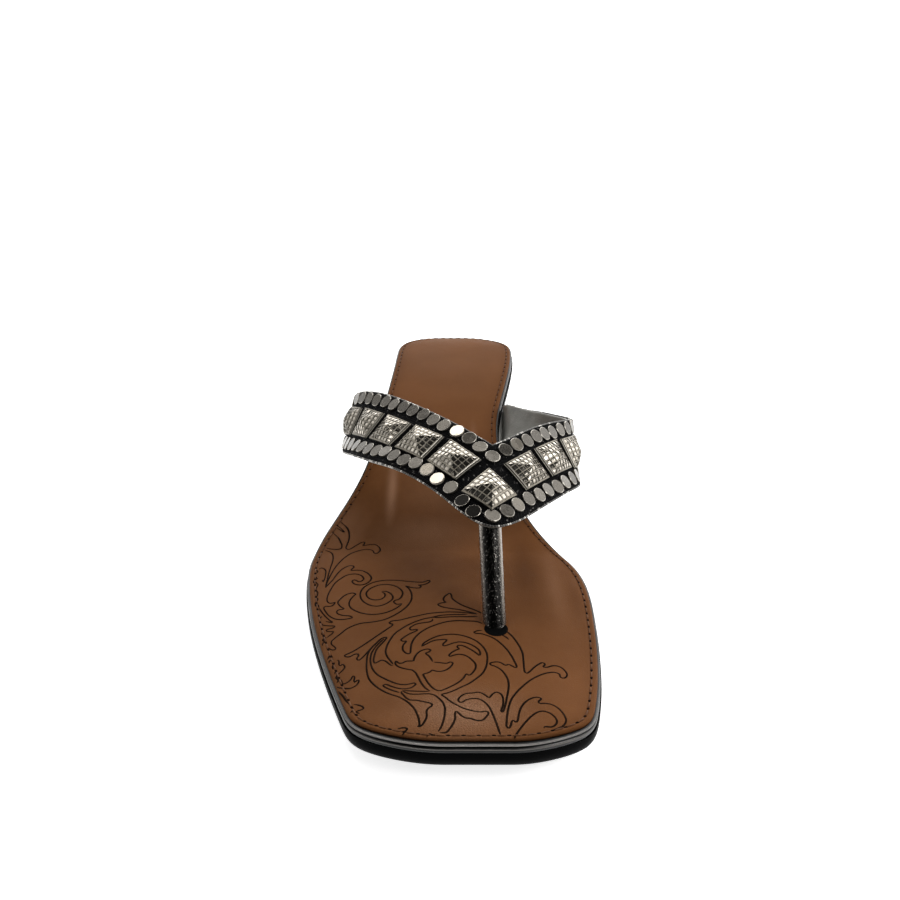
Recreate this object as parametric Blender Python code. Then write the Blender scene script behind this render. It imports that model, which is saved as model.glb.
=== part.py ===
# A toe-post slip-on sandal for the right foot: a padded foot bed on a bound insole board, an outsole,
# a block heel, a V strap that tucks in between board and outsole, a toe post and a row of pyramid studs.
# Sizes are millimetres: x from the outer (-) to the inner (+) side of the foot, y from toe to heel, z up.

import bmesh
import bpy
import numpy as np

MM = 0.001
GAP = 0.3
WELD = 0.01
SHARP_ANGLE = 35.0

# Foot bed in plan, and how far the sole stack is lifted off the floor along it
LENGTH = 245.0
TOE_SPRING = 4.0
FLAT_START = 49.0
FLAT_END = 98.0
HEEL_LIFT = 40.0
RISE_POWER = 0.78
# Columns: y, outer x, inner x
OUTLINE = np.array([
    (0.0, -1.0, 15.0),
    (2.3, -14.0, 26.0),
    (7.0, -23.0, 34.0),
    (15.0, -27.6, 37.8),
    (38.0, -35.8, 42.1),
    (63.0, -43.2, 44.4),
    (78.0, -46.2, 44.5),
    (93.0, -47.6, 41.4),
    (108.0, -45.4, 33.8),
    (125.0, -39.2, 26.0),
    (144.0, -32.9, 20.8),
    (166.0, -29.3, 19.2),
    (189.0, -26.8, 23.1),
    (211.0, -24.9, 27.2),
    (225.0, -24.2, 28.4),
    (235.0, -22.3, 26.4),
    (241.5, -16.5, 19.0),
    (LENGTH, -4.5, 6.0),
])
PLAN_ROWS = 56

# Edge profiles of the sole's layers: distance outside the foot bed's outline, height in the layer
OUTSOLE_THICK = 4.2
BOARD_THICK = 2.4
BED_THICK = 1.6
OUTSOLE_EDGE = ((-2.4, 0.0), (-0.9, 0.5), (-0.1, 1.6), (0.3, 3.4), (0.1, OUTSOLE_THICK))
BOARD_EDGE = (
    (0.3, 0.0), (1.0, 0.3), (1.2, 0.75), (1.0, 1.2),
    (0.7, 1.4), (1.0, 1.65), (1.0, 2.0), (0.6, BOARD_THICK),
)
BED_EDGE = ((-0.4, 0.0), (0.0, 0.4), (0.0, 1.1), (-0.5, BED_THICK), (-2.8, 1.9), (-3.6, 1.7), (-6.0, 2.2))
BED_COLUMNS = 8
BED_CROWN = 0.8

# Block heel under the seat. Columns: share of its height, half width, half length, centre y
HEEL = np.array([
    (0.00, 18.5, 19.0, 216.0),
    (0.04, 19.3, 19.8, 216.0),
    (0.40, 20.0, 20.5, 216.5),
    (0.75, 22.0, 23.5, 217.0),
    (1.00, 24.5, 26.0, 217.0),
])
HEEL_X = 1.4
HEEL_SQUARE = 3.4
HEEL_POINTS = 32

# V strap: a wall of even thickness between a rear and a front edge, from the V's centre out to each side.
# Columns: rear x, rear y, rear z, front x, front y, front z
STRAP_THICK = 2.0
STRAP_HALF_WIDTH = 12.5
STRAP_CENTRE = (13.9, 97.4, 49.6, 12.0, 66.0, 36.4)
STRAP_OUTER = np.array([
    STRAP_CENTRE,
    (8.5, 101.5, 51.6, -2.2, 80.0, 39.6),
    (3.2, 106.2, 53.2, -14.2, 93.4, 41.6),
    (-8.3, 119.8, 54.2, -26.5, 107.0, 40.2),
    (-19.3, 133.0, 54.3, -34.8, 122.0, 36.3),
    (-30.5, 147.5, 52.0, -40.2, 138.0, 31.2),
    (-37.0, 161.0, 46.0, -41.2, 147.5, 28.0),
    (-35.8, 171.5, 38.5, -39.0, 152.0, 25.7),
])
STRAP_INNER = np.array([
    STRAP_CENTRE,
    (18.9, 101.2, 50.3, 27.0, 80.0, 34.6),
    (23.6, 106.2, 50.6, 37.6, 95.0, 33.4),
    (35.5, 120.2, 49.3, 45.2, 109.8, 30.2),
    (42.7, 130.3, 46.8, 45.6, 118.5, 27.2),
    (44.3, 138.5, 44.7, 45.9, 125.5, 25.4),
    (41.6, 146.5, 42.8, 44.0, 132.5, 24.6),
    (35.5, 158.0, 40.4, 38.0, 142.5, 24.4),
    (28.5, 168.5, 38.4, 30.5, 149.0, 24.6),
    (23.4, 178.2, 36.0, 24.8, 152.5, 24.2),
])
TUCK_REAR_Y = (177.0, 181.0)
TUCK_FRONT_Y = 153.0
TUCK_DEPTH = 9.0
TUCK_RADIUS = 2.2
TUCK_ANGLES = (80.0, 45.0, 0.0)
TUCK_FLATS = (3.0, 6.0, TUCK_DEPTH)
BINDING_REACH = 1.2
STRAP_STEPS = 3
STRAP_ACROSS = 5
PROBE_ALONG = 0.5
PROBE_ACROSS = 0.02

# Toe post: a leaning tube from the outsole's top to the underside of the V
POST_RADIUS = 3.6
POST_FOOT = (13.7, 51.0)
POST_HEAD_SHARE = 0.24
POST_REACH = 5.0
POST_PROBES = 9
POST_POINTS = 16

# Pyramid studs: half sides along and across the strap; rings give share of them and height over its face
STUD_HALVES = (7.6, 5.75)
STUD_PITCH = 16.9
STUD_FIRST = 16.3
CENTRE_HALVES = (6.0, 6.0)
CENTRE_PLACE = (-0.5, -0.19)
CENTRE_TURN = np.radians(-27.0)
STUDS_EACH_SIDE = 5
STUD_SEAT = 0.55
STUD_RINGS = ((0.0, 0.0), (0.5, 0.0), (1.0, 0.0), (1.0, 0.7), (0.95, 0.7), (0.93, 1.15), (0.0, 2.9))
DRAPE_STEPS = 30
DRAPE_SHARE = 0.6

BROWN = (0.150, 0.066, 0.033)
BLACK = (0.012, 0.012, 0.013)
GUNMETAL = (0.22, 0.21, 0.205)
PEWTER = (0.30, 0.29, 0.28)


def spline(knots, values, at):
    # Natural cubic through the rows of values: their bends come from one linear system
    values = np.asarray(values, float)
    at = np.asarray(at, float)
    count = len(knots)
    step = np.diff(knots)
    slope = np.diff(values, axis=0) / step[:, None]
    system = np.eye(count)
    right = np.zeros_like(values)
    for i in range(1, count - 1):
        system[i, i - 1:i + 2] = step[i - 1], 2 * (step[i - 1] + step[i]), step[i]
        right[i] = 6 * (slope[i] - slope[i - 1])
    bend = np.linalg.solve(system, right)
    k = np.clip(np.searchsorted(knots, at) - 1, 0, count - 2)
    h = step[k][:, None]
    b = ((at - knots[k]) / step[k])[:, None]
    a = 1 - b
    curved = ((a ** 3 - a) * bend[k] + (b ** 3 - b) * bend[k + 1]) * h ** 2 / 6
    return a * values[k] + b * values[k + 1] + curved


def lift(y):
    # Toe spring is a parabola, the ball is flat on the floor, the waist is an S curve up to the heel
    y = np.asarray(y, float)
    toe = TOE_SPRING * np.clip(1 - y / FLAT_START, 0, None) ** 2
    share = np.clip((y - FLAT_END) / (LENGTH - FLAT_END), 0, 1) ** RISE_POWER
    return toe + HEEL_LIFT * share ** 2 * (3 - 2 * share)


def plan_angle(y):
    return np.arccos(1 - 2 * np.asarray(y, float) / LENGTH)


def edge_x(y):
    return spline(plan_angle(OUTLINE[:, 0]), OUTLINE[:, 1:], plan_angle(np.atleast_1d(y)))


def outline(out):
    # Outer side from toe to heel, then inner side back to the toe, moved out along the edge's own normal
    y = LENGTH / 2 * (1 - np.cos(np.linspace(0, np.pi, PLAN_ROWS)))
    sides = edge_x(y)
    loop = np.vstack([
        np.column_stack([sides[:, 0], y]),
        np.column_stack([sides[::-1, 1], y[::-1]]),
    ])
    along = np.roll(loop, -1, axis=0) - np.roll(loop, 1, axis=0)
    along /= np.linalg.norm(along, axis=1)[:, None]
    normal = np.column_stack([-along[:, 1], along[:, 0]])
    return loop + out * normal


def strips(loop):
    # Faces across a loop whose first half runs beside its second half
    count = len(loop)
    return [
        (loop[i], loop[i + 1], loop[count - 2 - i], loop[count - 1 - i])
        for i in range(count // 2 - 1)
    ]


def walls(first, second):
    count = len(first)
    return [
        (first[i], first[(i + 1) % count], second[(i + 1) % count], second[i])
        for i in range(count)
    ]


def numbered(loops):
    count = len(loops[0])
    return [[k * count + i for i in range(count)] for k in range(len(loops))]


def material(name, colour, roughness, metallic):
    made = bpy.data.materials.new(name)
    made.use_nodes = True
    shader = made.node_tree.nodes["Principled BSDF"]
    shader.inputs["Base Color"].default_value = (*colour, 1.0)
    shader.inputs["Roughness"].default_value = roughness
    shader.inputs["Metallic"].default_value = metallic
    return made


def solid(name, points, faces, look):
    mesh = bpy.data.meshes.new(name)
    mesh.from_pydata((np.asarray(points) * MM).tolist(), [], faces)
    work = bmesh.new()
    work.from_mesh(mesh)
    bmesh.ops.remove_doubles(work, verts=work.verts, dist=WELD * MM)
    bmesh.ops.recalc_face_normals(work, faces=work.faces)
    work.to_mesh(mesh)
    work.free()
    mesh.shade_smooth()
    mesh.set_sharp_from_angle(angle=np.radians(SHARP_ANGLE))
    mesh.materials.append(look)
    made = bpy.data.objects.new(name, mesh)
    bpy.context.scene.collection.objects.link(made)
    made.parent = shoe
    return made


def cut(target, cutter):
    cutter.hide_render = True
    cutter.display_type = "WIRE"
    modifier = target.modifiers.new(f"cut by {cutter.name}", "BOOLEAN")
    modifier.operation = "DIFFERENCE"
    modifier.object = cutter


def padded(loop, points, start, columns, crown):
    # Points and faces of a face with a low crown that fades out at toe and heel, joined to a loop of the edge
    half = len(loop) // 2
    fade = np.sin(np.linspace(0, np.pi, half)[1:-1, None]) ** 2
    share = np.arange(1, columns) / columns
    pairs = points[1:half - 1, None], points[::-1][1:half - 1, None]
    inner = pairs[0] + (pairs[1] - pairs[0]) * share[:, None]
    inner[:, :, 2] += crown * fade * 4 * share * (1 - share)
    rows = []
    for i in range(half - 2):
        first = start + i * (columns - 1)
        rows.append([loop[i + 1], *range(first, first + columns - 1), loop[-2 - i]])
    faces = [(loop[0], *rows[0], loop[-1]), (loop[half], *reversed(rows[-1]), loop[half - 1])]
    for near, far in zip(rows[:-1], rows[1:]):
        faces += [(near[j], far[j], far[j + 1], near[j + 1]) for j in range(columns)]
    return inner.reshape(-1, 3), faces


def layer(name, profile, base, look, columns=1, crown=0.0):
    # A layer of the sole: loops from its lower face up round its edge to its upper face
    loops = []
    for out, up in profile:
        plan = outline(out)
        loops.append(np.column_stack([plan, lift(plan[:, 1]) + base + up]))
    index = numbered(loops)
    inner, faces = padded(index[-1], loops[-1], len(loops) * len(loops[0]), columns, crown)
    faces += strips(index[0])
    for lower, upper in zip(index[:-1], index[1:]):
        faces += walls(lower, upper)
    return solid(name, np.vstack([*loops, inner]), faces, look)


def heel_block(look):
    # Squared-oval loops from the tread up to the sole, the last one bent to the sole's underside
    turn = np.linspace(0, 2 * np.pi, HEEL_POINTS, endpoint=False) + np.pi / HEEL_POINTS
    across = np.sign(np.sin(turn)) * np.abs(np.sin(turn)) ** (2 / HEEL_SQUARE)
    along = np.sign(np.cos(turn)) * np.abs(np.cos(turn)) ** (2 / HEEL_SQUARE)
    loops = []
    for share, half_width, half_length, centre in HEEL:
        x = HEEL_X + half_width * across
        y = centre + half_length * along
        loops.append(np.column_stack([x, y, share * (lift(y) - GAP)]))
    index = numbered(loops)
    faces = [tuple(index[0])] + strips(index[-1])
    for lower, upper in zip(index[:-1], index[1:]):
        faces += walls(lower, upper)
    return solid("heel", np.vstack(loops), faces, look)


def tuck_rows(column, grow):
    # The strap's end: round the binding's edge, then flat between insole board and outsole
    side = -1 if column == 0 else 1
    y = np.array([TUCK_REAR_Y[column], TUCK_FRONT_Y])
    edge = edge_x(y)[:, column]
    flat = lift(y) + OUTSOLE_THICK - STRAP_THICK / 2
    start = BINDING_REACH + GAP + STRAP_THICK / 2 - TUCK_RADIUS
    rows = []
    for angle in np.radians(TUCK_ANGLES):
        out = start + TUCK_RADIUS * np.sin(angle)
        up = TUCK_RADIUS * (1 - np.cos(angle))
        rows.append(np.column_stack([edge + side * out, y, flat + up]).ravel())
    for depth in TUCK_FLATS:
        rows.append(np.column_stack([edge + side * (start - depth), y, flat]).ravel())
    rows[-1][[0, 3]] -= side * grow
    return np.array(rows)


def strap_edges(grow=0.0):
    # Knots count the length along the strap from the V's centre, negative on the outer arm
    outer = np.vstack([STRAP_OUTER, tuck_rows(0, grow)])
    inner = np.vstack([STRAP_INNER, tuck_rows(1, grow)])
    arms = []
    for rows in (outer, inner):
        middle = (rows[:, :3] + rows[:, 3:]) / 2
        steps = np.linalg.norm(np.diff(middle, axis=0), axis=1)
        arms.append(np.concatenate([[0.0], np.cumsum(steps)]))
    knots = np.concatenate([-arms[0][:0:-1], arms[1]])
    front = np.vstack([outer[:0:-1, 3:], inner[:, 3:]])
    return arms, outer[:, :3], inner[:, :3], knots, front


def strap_points(t, across, grow=0.0):
    # Straight lines across, from the front edge (-1) to the rear edge (1)
    arms, rear_outer, rear_inner, knots, front = strap_edges(grow)
    t = np.asarray(t, float)
    rear = np.where(
        t[:, None] < 0,
        spline(arms[0], rear_outer, -np.minimum(t, 0)),
        spline(arms[1], rear_inner, np.maximum(t, 0)),
    )
    ahead = spline(knots, front, t)
    share = (np.asarray(across, float)[:, None] + 1) / 2
    return ahead + (rear - ahead) * share


def strap_frame(t, across, grow=0.0):
    # Place on the strap's middle surface, with its directions along, across and outward
    t = np.atleast_1d(np.asarray(t, float))
    across = np.broadcast_to(np.asarray(across, float), t.shape)
    place = strap_points(t, across, grow)
    along = strap_points(t + PROBE_ALONG, across, grow) - strap_points(t - PROBE_ALONG, across, grow)
    over = strap_points(t, across + PROBE_ACROSS, grow) - strap_points(t, across - PROBE_ACROSS, grow)
    along /= np.linalg.norm(along, axis=1)[:, None]
    out = np.cross(along, over)
    out /= np.linalg.norm(out, axis=1)[:, None]
    return place, along, np.cross(out, along), out


def strap_solid(name, grow, look):
    knots = strap_edges(grow)[3]
    t = np.concatenate([
        np.linspace(a, b, STRAP_STEPS, endpoint=False) for a, b in zip(knots[:-1], knots[1:])
    ] + [knots[-1:]])
    reach = 1 + grow / STRAP_HALF_WIDTH
    frames = [strap_frame(t, v, grow) for v in np.linspace(-reach, reach, STRAP_ACROSS)]
    grid = np.stack([frame[0] for frame in frames], axis=1)
    out = np.stack([frame[3] for frame in frames], axis=1)
    half = STRAP_THICK / 2 + grow
    upper = grid + half * out
    lower = grid - half * out
    rows, columns = grid.shape[:2]
    count = rows * columns
    place = np.arange(count).reshape(rows, columns)
    faces = []
    for i in range(rows - 1):
        for j in range(columns - 1):
            quad = (place[i, j], place[i + 1, j], place[i + 1, j + 1], place[i, j + 1])
            faces.append(tuple(int(p) for p in quad))
            faces.append(tuple(int(p) + count for p in reversed(quad)))
    rim = np.concatenate([place[:, 0], place[-1, 1:], place[-2::-1, -1], place[0, -2:0:-1]])
    faces += walls([int(p) for p in rim], [int(p) + count for p in rim])
    return solid(name, np.vstack([upper.reshape(-1, 3), lower.reshape(-1, 3)]), faces, look)


def toe_post(name, grow, look):
    # A tube from the outsole's top, cut off parallel to the strap's underside
    across = 2 * POST_HEAD_SHARE - 1
    place, along, over, out = (v[0] for v in strap_frame(0.0, across))
    reach = np.linspace(-POST_REACH, POST_REACH, POST_PROBES)
    near = np.vstack([
        strap_points(reach, np.full(POST_PROBES, across + step / STRAP_HALF_WIDTH)) for step in reach
    ])
    lowest = ((near - place) @ out).min()
    head = place + (lowest - STRAP_THICK / 2 - GAP) * out
    foot = np.array([*POST_FOOT, lift(POST_FOOT[1]) + OUTSOLE_THICK + GAP])
    axis = (head - foot) / np.linalg.norm(head - foot)
    side = np.cross(axis, (0.0, 1.0, 0.0))
    side /= np.linalg.norm(side)
    other = np.cross(axis, side)
    turn = np.linspace(0, 2 * np.pi, POST_POINTS, endpoint=False)
    ring = (POST_RADIUS + grow) * (np.outer(np.cos(turn), side) + np.outer(np.sin(turn), other))
    low = ring + foot
    low -= np.outer((low[:, 2] - foot[2] + grow) / axis[2], axis)
    high = ring + head
    high -= np.outer((high - head) @ out / (axis @ out), axis)
    index = numbered([low, high])
    faces = [tuple(index[0]), tuple(index[1])] + walls(*index)
    return solid(name, np.vstack([low, high]), faces, look)


def drape(t, across, plan, place, along, over, out):
    # Height of the strap's middle surface over each point of a plate's plan, found in small steps
    at = t + plan[:, 0]
    level = across + plan[:, 1] / STRAP_HALF_WIDTH
    for _ in range(DRAPE_STEPS):
        away = strap_points(at, level) - place
        at = at - DRAPE_SHARE * (away @ along - plan[:, 0])
        level = level - DRAPE_SHARE * (away @ over - plan[:, 1]) / STRAP_HALF_WIDTH
    return (strap_points(at, level) - place) @ out


def stud(name, t, across, halves, turn, look):
    # A plate of stepped rings that follows the strap's bend, closed at two points
    x = (-1, -0.5, 0, 0.5, 1, 1, 1, 0.5, 0, -0.5, -1, -1)
    y = (-1, -1, -1, -1, -1, 0, 1, 1, 1, 1, 1, 0)
    corners = np.column_stack([x, y])
    spin = np.array([(np.cos(turn), -np.sin(turn)), (np.sin(turn), np.cos(turn))])
    place, along, over, out = (v[0] for v in strap_frame(t, across))
    loops = []
    for share, up in STUD_RINGS:
        plan = share * (corners * halves) @ spin.T
        rise = STRAP_THICK / 2 + STUD_SEAT + up + drape(t, across, plan, place, along, over, out)
        loops.append(place + plan @ np.vstack([along, over]) + np.outer(rise, out))
    index = numbered(loops)
    faces = []
    for lower, upper in zip(index[:-1], index[1:]):
        faces += walls(lower, upper)
    return solid(name, np.vstack(loops), faces, look)


for old in list(bpy.data.objects):
    bpy.data.objects.remove(old)
shoe = bpy.data.objects.new("shoe", None)
bpy.context.scene.collection.objects.link(shoe)

rubber = material("black rubber", BLACK, 0.35, 0.0)
leather = material("brown leather", BROWN, 0.45, 0.0)
binding = material("gunmetal binding", GUNMETAL, 0.35, 0.6)
textile = material("black woven textile", BLACK, 0.6, 0.0)
rolled = material("gunmetal rolled leather", GUNMETAL, 0.5, 0.4)
metal = material("pewter metal", PEWTER, 0.35, 1.0)

board_base = OUTSOLE_THICK + GAP
bed_base = board_base + BOARD_THICK + GAP
outsole = layer("outsole", OUTSOLE_EDGE, 0.0, rubber)
board = layer("insole_board", BOARD_EDGE, board_base, binding)
bed = layer("foot_bed", BED_EDGE, bed_base, leather, BED_COLUMNS, BED_CROWN)
heel_block(rubber)
strap_solid("strap", 0.0, textile)
cut(outsole, strap_solid("strap room", GAP, textile))
toe_post("toe_post", 0.0, rolled)
post_room = toe_post("post room", GAP, rolled)
cut(board, post_room)
cut(bed, post_room)
stud("stud_centre", *CENTRE_PLACE, CENTRE_HALVES, CENTRE_TURN, metal)
for side, sign in (("outer", -1), ("inner", 1)):
    for number in range(STUDS_EACH_SIDE):
        t = sign * (STUD_FIRST + number * STUD_PITCH)
        stud(f"stud_{side}_{number + 1}", t, 0.0, STUD_HALVES, 0.0, metal)

# The origin is on the floor, in the middle of the shoe's box
corners = np.vstack([
    np.array([vertex.co for vertex in made.data.vertices])
    for made in bpy.data.objects if made.type == "MESH" and not made.hide_render
])
middle = (corners.min(axis=0) + corners.max(axis=0)) / 2
shoe.location = (-middle[0], -middle[1], 0.0)
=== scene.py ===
import bmesh
import bpy
import numpy as np
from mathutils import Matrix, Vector


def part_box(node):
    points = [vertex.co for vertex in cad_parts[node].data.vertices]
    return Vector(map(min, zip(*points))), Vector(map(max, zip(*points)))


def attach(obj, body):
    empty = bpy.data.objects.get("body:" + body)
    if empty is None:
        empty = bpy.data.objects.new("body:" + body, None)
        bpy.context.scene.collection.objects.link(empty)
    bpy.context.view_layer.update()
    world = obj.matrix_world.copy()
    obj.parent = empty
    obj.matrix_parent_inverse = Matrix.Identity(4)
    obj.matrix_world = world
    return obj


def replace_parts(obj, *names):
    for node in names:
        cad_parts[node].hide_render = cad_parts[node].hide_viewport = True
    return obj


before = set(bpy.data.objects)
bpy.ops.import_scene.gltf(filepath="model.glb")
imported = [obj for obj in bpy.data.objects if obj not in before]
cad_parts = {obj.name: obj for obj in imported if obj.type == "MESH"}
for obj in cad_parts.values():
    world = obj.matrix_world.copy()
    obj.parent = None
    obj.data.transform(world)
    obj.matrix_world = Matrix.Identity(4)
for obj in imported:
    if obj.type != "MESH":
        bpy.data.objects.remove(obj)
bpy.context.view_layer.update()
print("frame:", len(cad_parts), "nodes")

mm = 0.001
weldDistance, sliverDistance = 1e-6, 1e-7
rng = np.random.default_rng(11)

# Shoe coordinates: millimetres, y from the toe tip; the shift carries them into the row frame
heelPlan = np.array([1.4, 217.0])
heelLow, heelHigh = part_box("heel")
heelMiddle = np.array([heelLow.x + heelHigh.x, heelLow.y + heelHigh.y]) / 2 / mm
shift = np.array([*(heelMiddle - heelPlan), 0.0])

# Focal length and frame in pixels, eye in shoe coordinates, pitch in degrees downwards
view = {
    "focal": 850.0, "frame": 900.0, "sensor": 36.0, "near": 0.01,
    "eye": np.array([0.0, -163.33, 154.13]), "pitch": 22.04,
}
viewPitch = np.radians(view["pitch"])
viewAhead = np.array([0.0, np.cos(viewPitch), -np.sin(viewPitch)])
viewUp = np.array([0.0, np.sin(viewPitch), np.cos(viewPitch)])


# Numbers and curves

def curveThrough(knots, values, at):
    # Natural cubic: cubics between the knots whose slope and bend run on without a break, ends straight
    knots, values, at = (np.asarray(item, float) for item in (knots, values, at))
    table = values.reshape(len(knots), -1)
    step = np.diff(knots)
    slope = np.diff(table, axis=0) / step[:, None]
    system = np.diag(2 * (step[:-1] + step[1:])) + np.diag(step[1:-1], 1) + np.diag(step[1:-1], -1)
    bend = np.zeros_like(table)
    bend[1:-1] = np.linalg.solve(system, 6 * np.diff(slope, axis=0))
    k = np.clip(np.searchsorted(knots, at) - 1, 0, len(step) - 1)
    b = ((at - knots[k]) / step[k])[..., None]
    a = 1 - b
    curved = ((a ** 3 - a) * bend[k] + (b ** 3 - b) * bend[k + 1]) * step[k][..., None] ** 2 / 6
    result = a * table[k] + b * table[k + 1] + curved
    return result if values.ndim > 1 else result[..., 0]


def unit(vectors):
    return vectors / np.linalg.norm(vectors, axis=-1, keepdims=True)


def leftOf(along):
    return np.column_stack([-along[:, 1], along[:, 0]])


def between(first, last, share):
    return first * (1 - share) + last * share


def roundTurn(count):
    return np.linspace(0, 2 * np.pi, count, endpoint=False)


def reachAlong(path):
    return np.concatenate([[0.0], np.cumsum(np.linalg.norm(np.diff(path, axis=0), axis=1))])


def pathAt(path, distance):
    reach = reachAlong(path)
    return np.stack([np.interp(distance, reach, column) for column in path.T], axis=-1)


def evenly(path, count):
    return pathAt(path, np.linspace(0, reachAlong(path)[-1], count))


def smoothStep(low, high, value):
    share = np.clip((value - low) / (high - low), 0, 1)
    return share * share * (3 - 2 * share)


def window(value, low, high, soft):
    return smoothStep(low - soft, low + soft, value) * (1 - smoothStep(high - soft, high + soft, value))


def strokeThrough(points, steps):
    # Centripetal curve: each stretch blends the parabolas of its four nearest points,
    # with knots spaced by the roots of the chords
    p = np.asarray(points, float)
    p = np.vstack([2 * p[0] - p[1], p, 2 * p[-1] - p[-2]])
    knot = np.concatenate([[0.0], np.cumsum(np.sqrt(np.linalg.norm(np.diff(p, axis=0), axis=1)))])
    t = [knot[k:len(knot) - 3 + k, None, None] for k in range(4)]
    q = [p[k:len(p) - 3 + k, None, :] for k in range(4)]
    u = t[1] + (t[2] - t[1]) * np.linspace(0, 1, steps, endpoint=False)[None, :, None]
    for reach in (1, 2):
        pairs = zip(q[:-1], q[1:], t[:-reach], t[reach:])
        q = [((late - u) * one + (u - early) * two) / (late - early) for one, two, early, late in pairs]
    curve = ((t[2] - u) * q[0] + (u - t[1]) * q[1]) / (t[2] - t[1])
    return np.vstack([curve.reshape(-1, p.shape[1]), p[-2]])


# Meshes

def gridFaces(rows, columns, wrap=False):
    index = np.arange(rows * columns).reshape(rows, columns)
    if wrap:
        index = np.hstack([index, index[:, :1]])
    corners = (index[:-1, :-1], index[:-1, 1:], index[1:, 1:], index[1:, :-1])
    return np.stack(corners, axis=-1).reshape(-1, 4)


def tubeFaces(rings, sides):
    # Walls between the rings, then the first and the last ring as lids
    last = (rings - 1) * sides
    lids = [list(range(sides)), list(range(last, last + sides))]
    return gridFaces(rings, sides, wrap=True).tolist() + lids


def copiesOf(faces, size, count):
    return (faces[None] + (np.arange(count) * size)[:, None, None]).reshape(-1, faces.shape[-1])


def makePiece(name, points, faces, look, smooth=40, values=None, uv=None):
    mesh = bpy.data.meshes.new(name)
    mesh.from_pydata(((points.reshape(-1, 3) + shift) * mm).tolist(), [], [list(face) for face in faces])
    for title, numbers in (values or {}).items():
        layer = mesh.attributes.new(title, "FLOAT", "POINT")
        layer.data.foreach_set("value", np.asarray(numbers, np.float32).ravel())
    if uv is not None:
        corner = np.empty(len(mesh.loops), np.int32)
        mesh.loops.foreach_get("vertex_index", corner)
        cornerUv = uv.reshape(-1, 2)[corner].astype(np.float32)
        mesh.uv_layers.new(name="plan").data.foreach_set("uv", cornerUv.ravel())
    work = bmesh.new()
    work.from_mesh(mesh)
    bmesh.ops.remove_doubles(work, verts=work.verts, dist=weldDistance)
    bmesh.ops.dissolve_degenerate(work, edges=work.edges, dist=sliverDistance)
    bmesh.ops.recalc_face_normals(work, faces=work.faces)
    work.to_mesh(mesh)
    work.free()
    mesh.polygons.foreach_set("use_smooth", np.ones(len(mesh.polygons), bool))
    mesh.set_sharp_from_angle(angle=np.radians(smooth))
    mesh.materials.append(look)
    piece = bpy.data.objects.new(name, mesh)
    bpy.context.scene.collection.objects.link(piece)
    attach(piece, "root")
    return piece


def ringsAlong(path, up, radius, sides):
    # Circles across the path: centre + r (cos a * side + sin a * over), with over nearest to up
    along = unit(np.gradient(path, axis=0))
    side = unit(np.cross(along, up))
    over = np.cross(side, along)
    turn = roundTurn(sides)[None, :, None]
    ring = np.cos(turn) * side[:, None] + np.sin(turn) * over[:, None]
    return path[:, None] + np.broadcast_to(radius, len(path))[:, None, None] * ring


# Node helpers

def addNode(tree, kind, inputs=None, **settings):
    node = tree.nodes.new(kind)
    for title, value in settings.items():
        setattr(node, title, value)
    for title, value in (inputs or {}).items():
        if isinstance(value, bpy.types.NodeSocket):
            tree.links.new(value, node.inputs[title])
        else:
            node.inputs[title].default_value = value
    return node


def calc(tree, operation, first, second=0.0):
    return addNode(tree, "ShaderNodeMath", {0: first, 1: second}, operation=operation).outputs[0]


def span(tree, value, low, high, newLow, newHigh):
    inputs = {"Value": value, "From Min": low, "From Max": high, "To Min": newLow, "To Max": newHigh}
    return addNode(tree, "ShaderNodeMapRange", inputs).outputs[0]


def blendColour(tree, share, first, second):
    return addNode(tree, "ShaderNodeMix", {0: share, 6: first, 7: second}, data_type="RGBA").outputs[2]


def attribute(tree, name):
    return addNode(tree, "ShaderNodeAttribute", attribute_name=name).outputs["Fac"]


def placeIn(tree, kind):
    return addNode(tree, "ShaderNodeTexCoord").outputs[kind]


def newGroup(name, inputs, outputs):
    group = bpy.data.node_groups.new(name, "ShaderNodeTree")
    for title, kind, value in inputs:
        socket = group.interface.new_socket(title, in_out="INPUT", socket_type="NodeSocket" + kind)
        if value is not None:
            socket.default_value = value
    for title in outputs:
        kind = "Color" if title == "Color" else "Float"
        group.interface.new_socket(title, in_out="OUTPUT", socket_type="NodeSocket" + kind)
    return group, group.nodes.new("NodeGroupInput").outputs, group.nodes.new("NodeGroupOutput").inputs


def useGroup(tree, group, **inputs):
    return addNode(tree, "ShaderNodeGroup", inputs, node_tree=group).outputs


def newLook(name, **sockets):
    look = bpy.data.materials.new(name)
    look.use_nodes = True
    tree = look.node_tree
    shader = tree.nodes["Principled BSDF"]
    for title, value in sockets.items():
        shader.inputs[title.replace("_", " ")].default_value = value
    return look, tree, shader, placeIn(tree, "Object")


def feed(tree, shader, **sockets):
    for title, socket in sockets.items():
        tree.links.new(socket, shader.inputs[title.replace("_", " ")])


def addBump(tree, shader, height, depth, strength):
    bump = addNode(tree, "ShaderNodeBump", {"Height": height, "Strength": strength, "Distance": depth})
    feed(tree, shader, Normal=bump.outputs[0])


# Leather grain: cells between fine furrows, over a slower swell
grainGroup, start, end = newGroup(
    "leather grain",
    [("Vector", "Vector", None), ("Scale", "Float", 900.0), ("Swell", "Float", 0.4)],
    ["Height"],
)
warp = addNode(grainGroup, "ShaderNodeTexNoise", {"Vector": start[0], "Scale": 260.0, "Detail": 2.0})
warpReach = (0.0016,) * 3
bent = addNode(
    grainGroup, "ShaderNodeVectorMath", {0: warp.outputs["Color"], 1: warpReach}, operation="MULTIPLY",
)
moved = addNode(grainGroup, "ShaderNodeVectorMath", {0: start[0], 1: bent.outputs[0]}, operation="ADD")
cells = addNode(
    grainGroup, "ShaderNodeTexVoronoi",
    {"Vector": moved.outputs[0], "Scale": start[1]}, feature="DISTANCE_TO_EDGE",
)
furrow = span(grainGroup, cells.outputs["Distance"], 0.0, 0.18, 0.0, 1.0)
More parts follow.
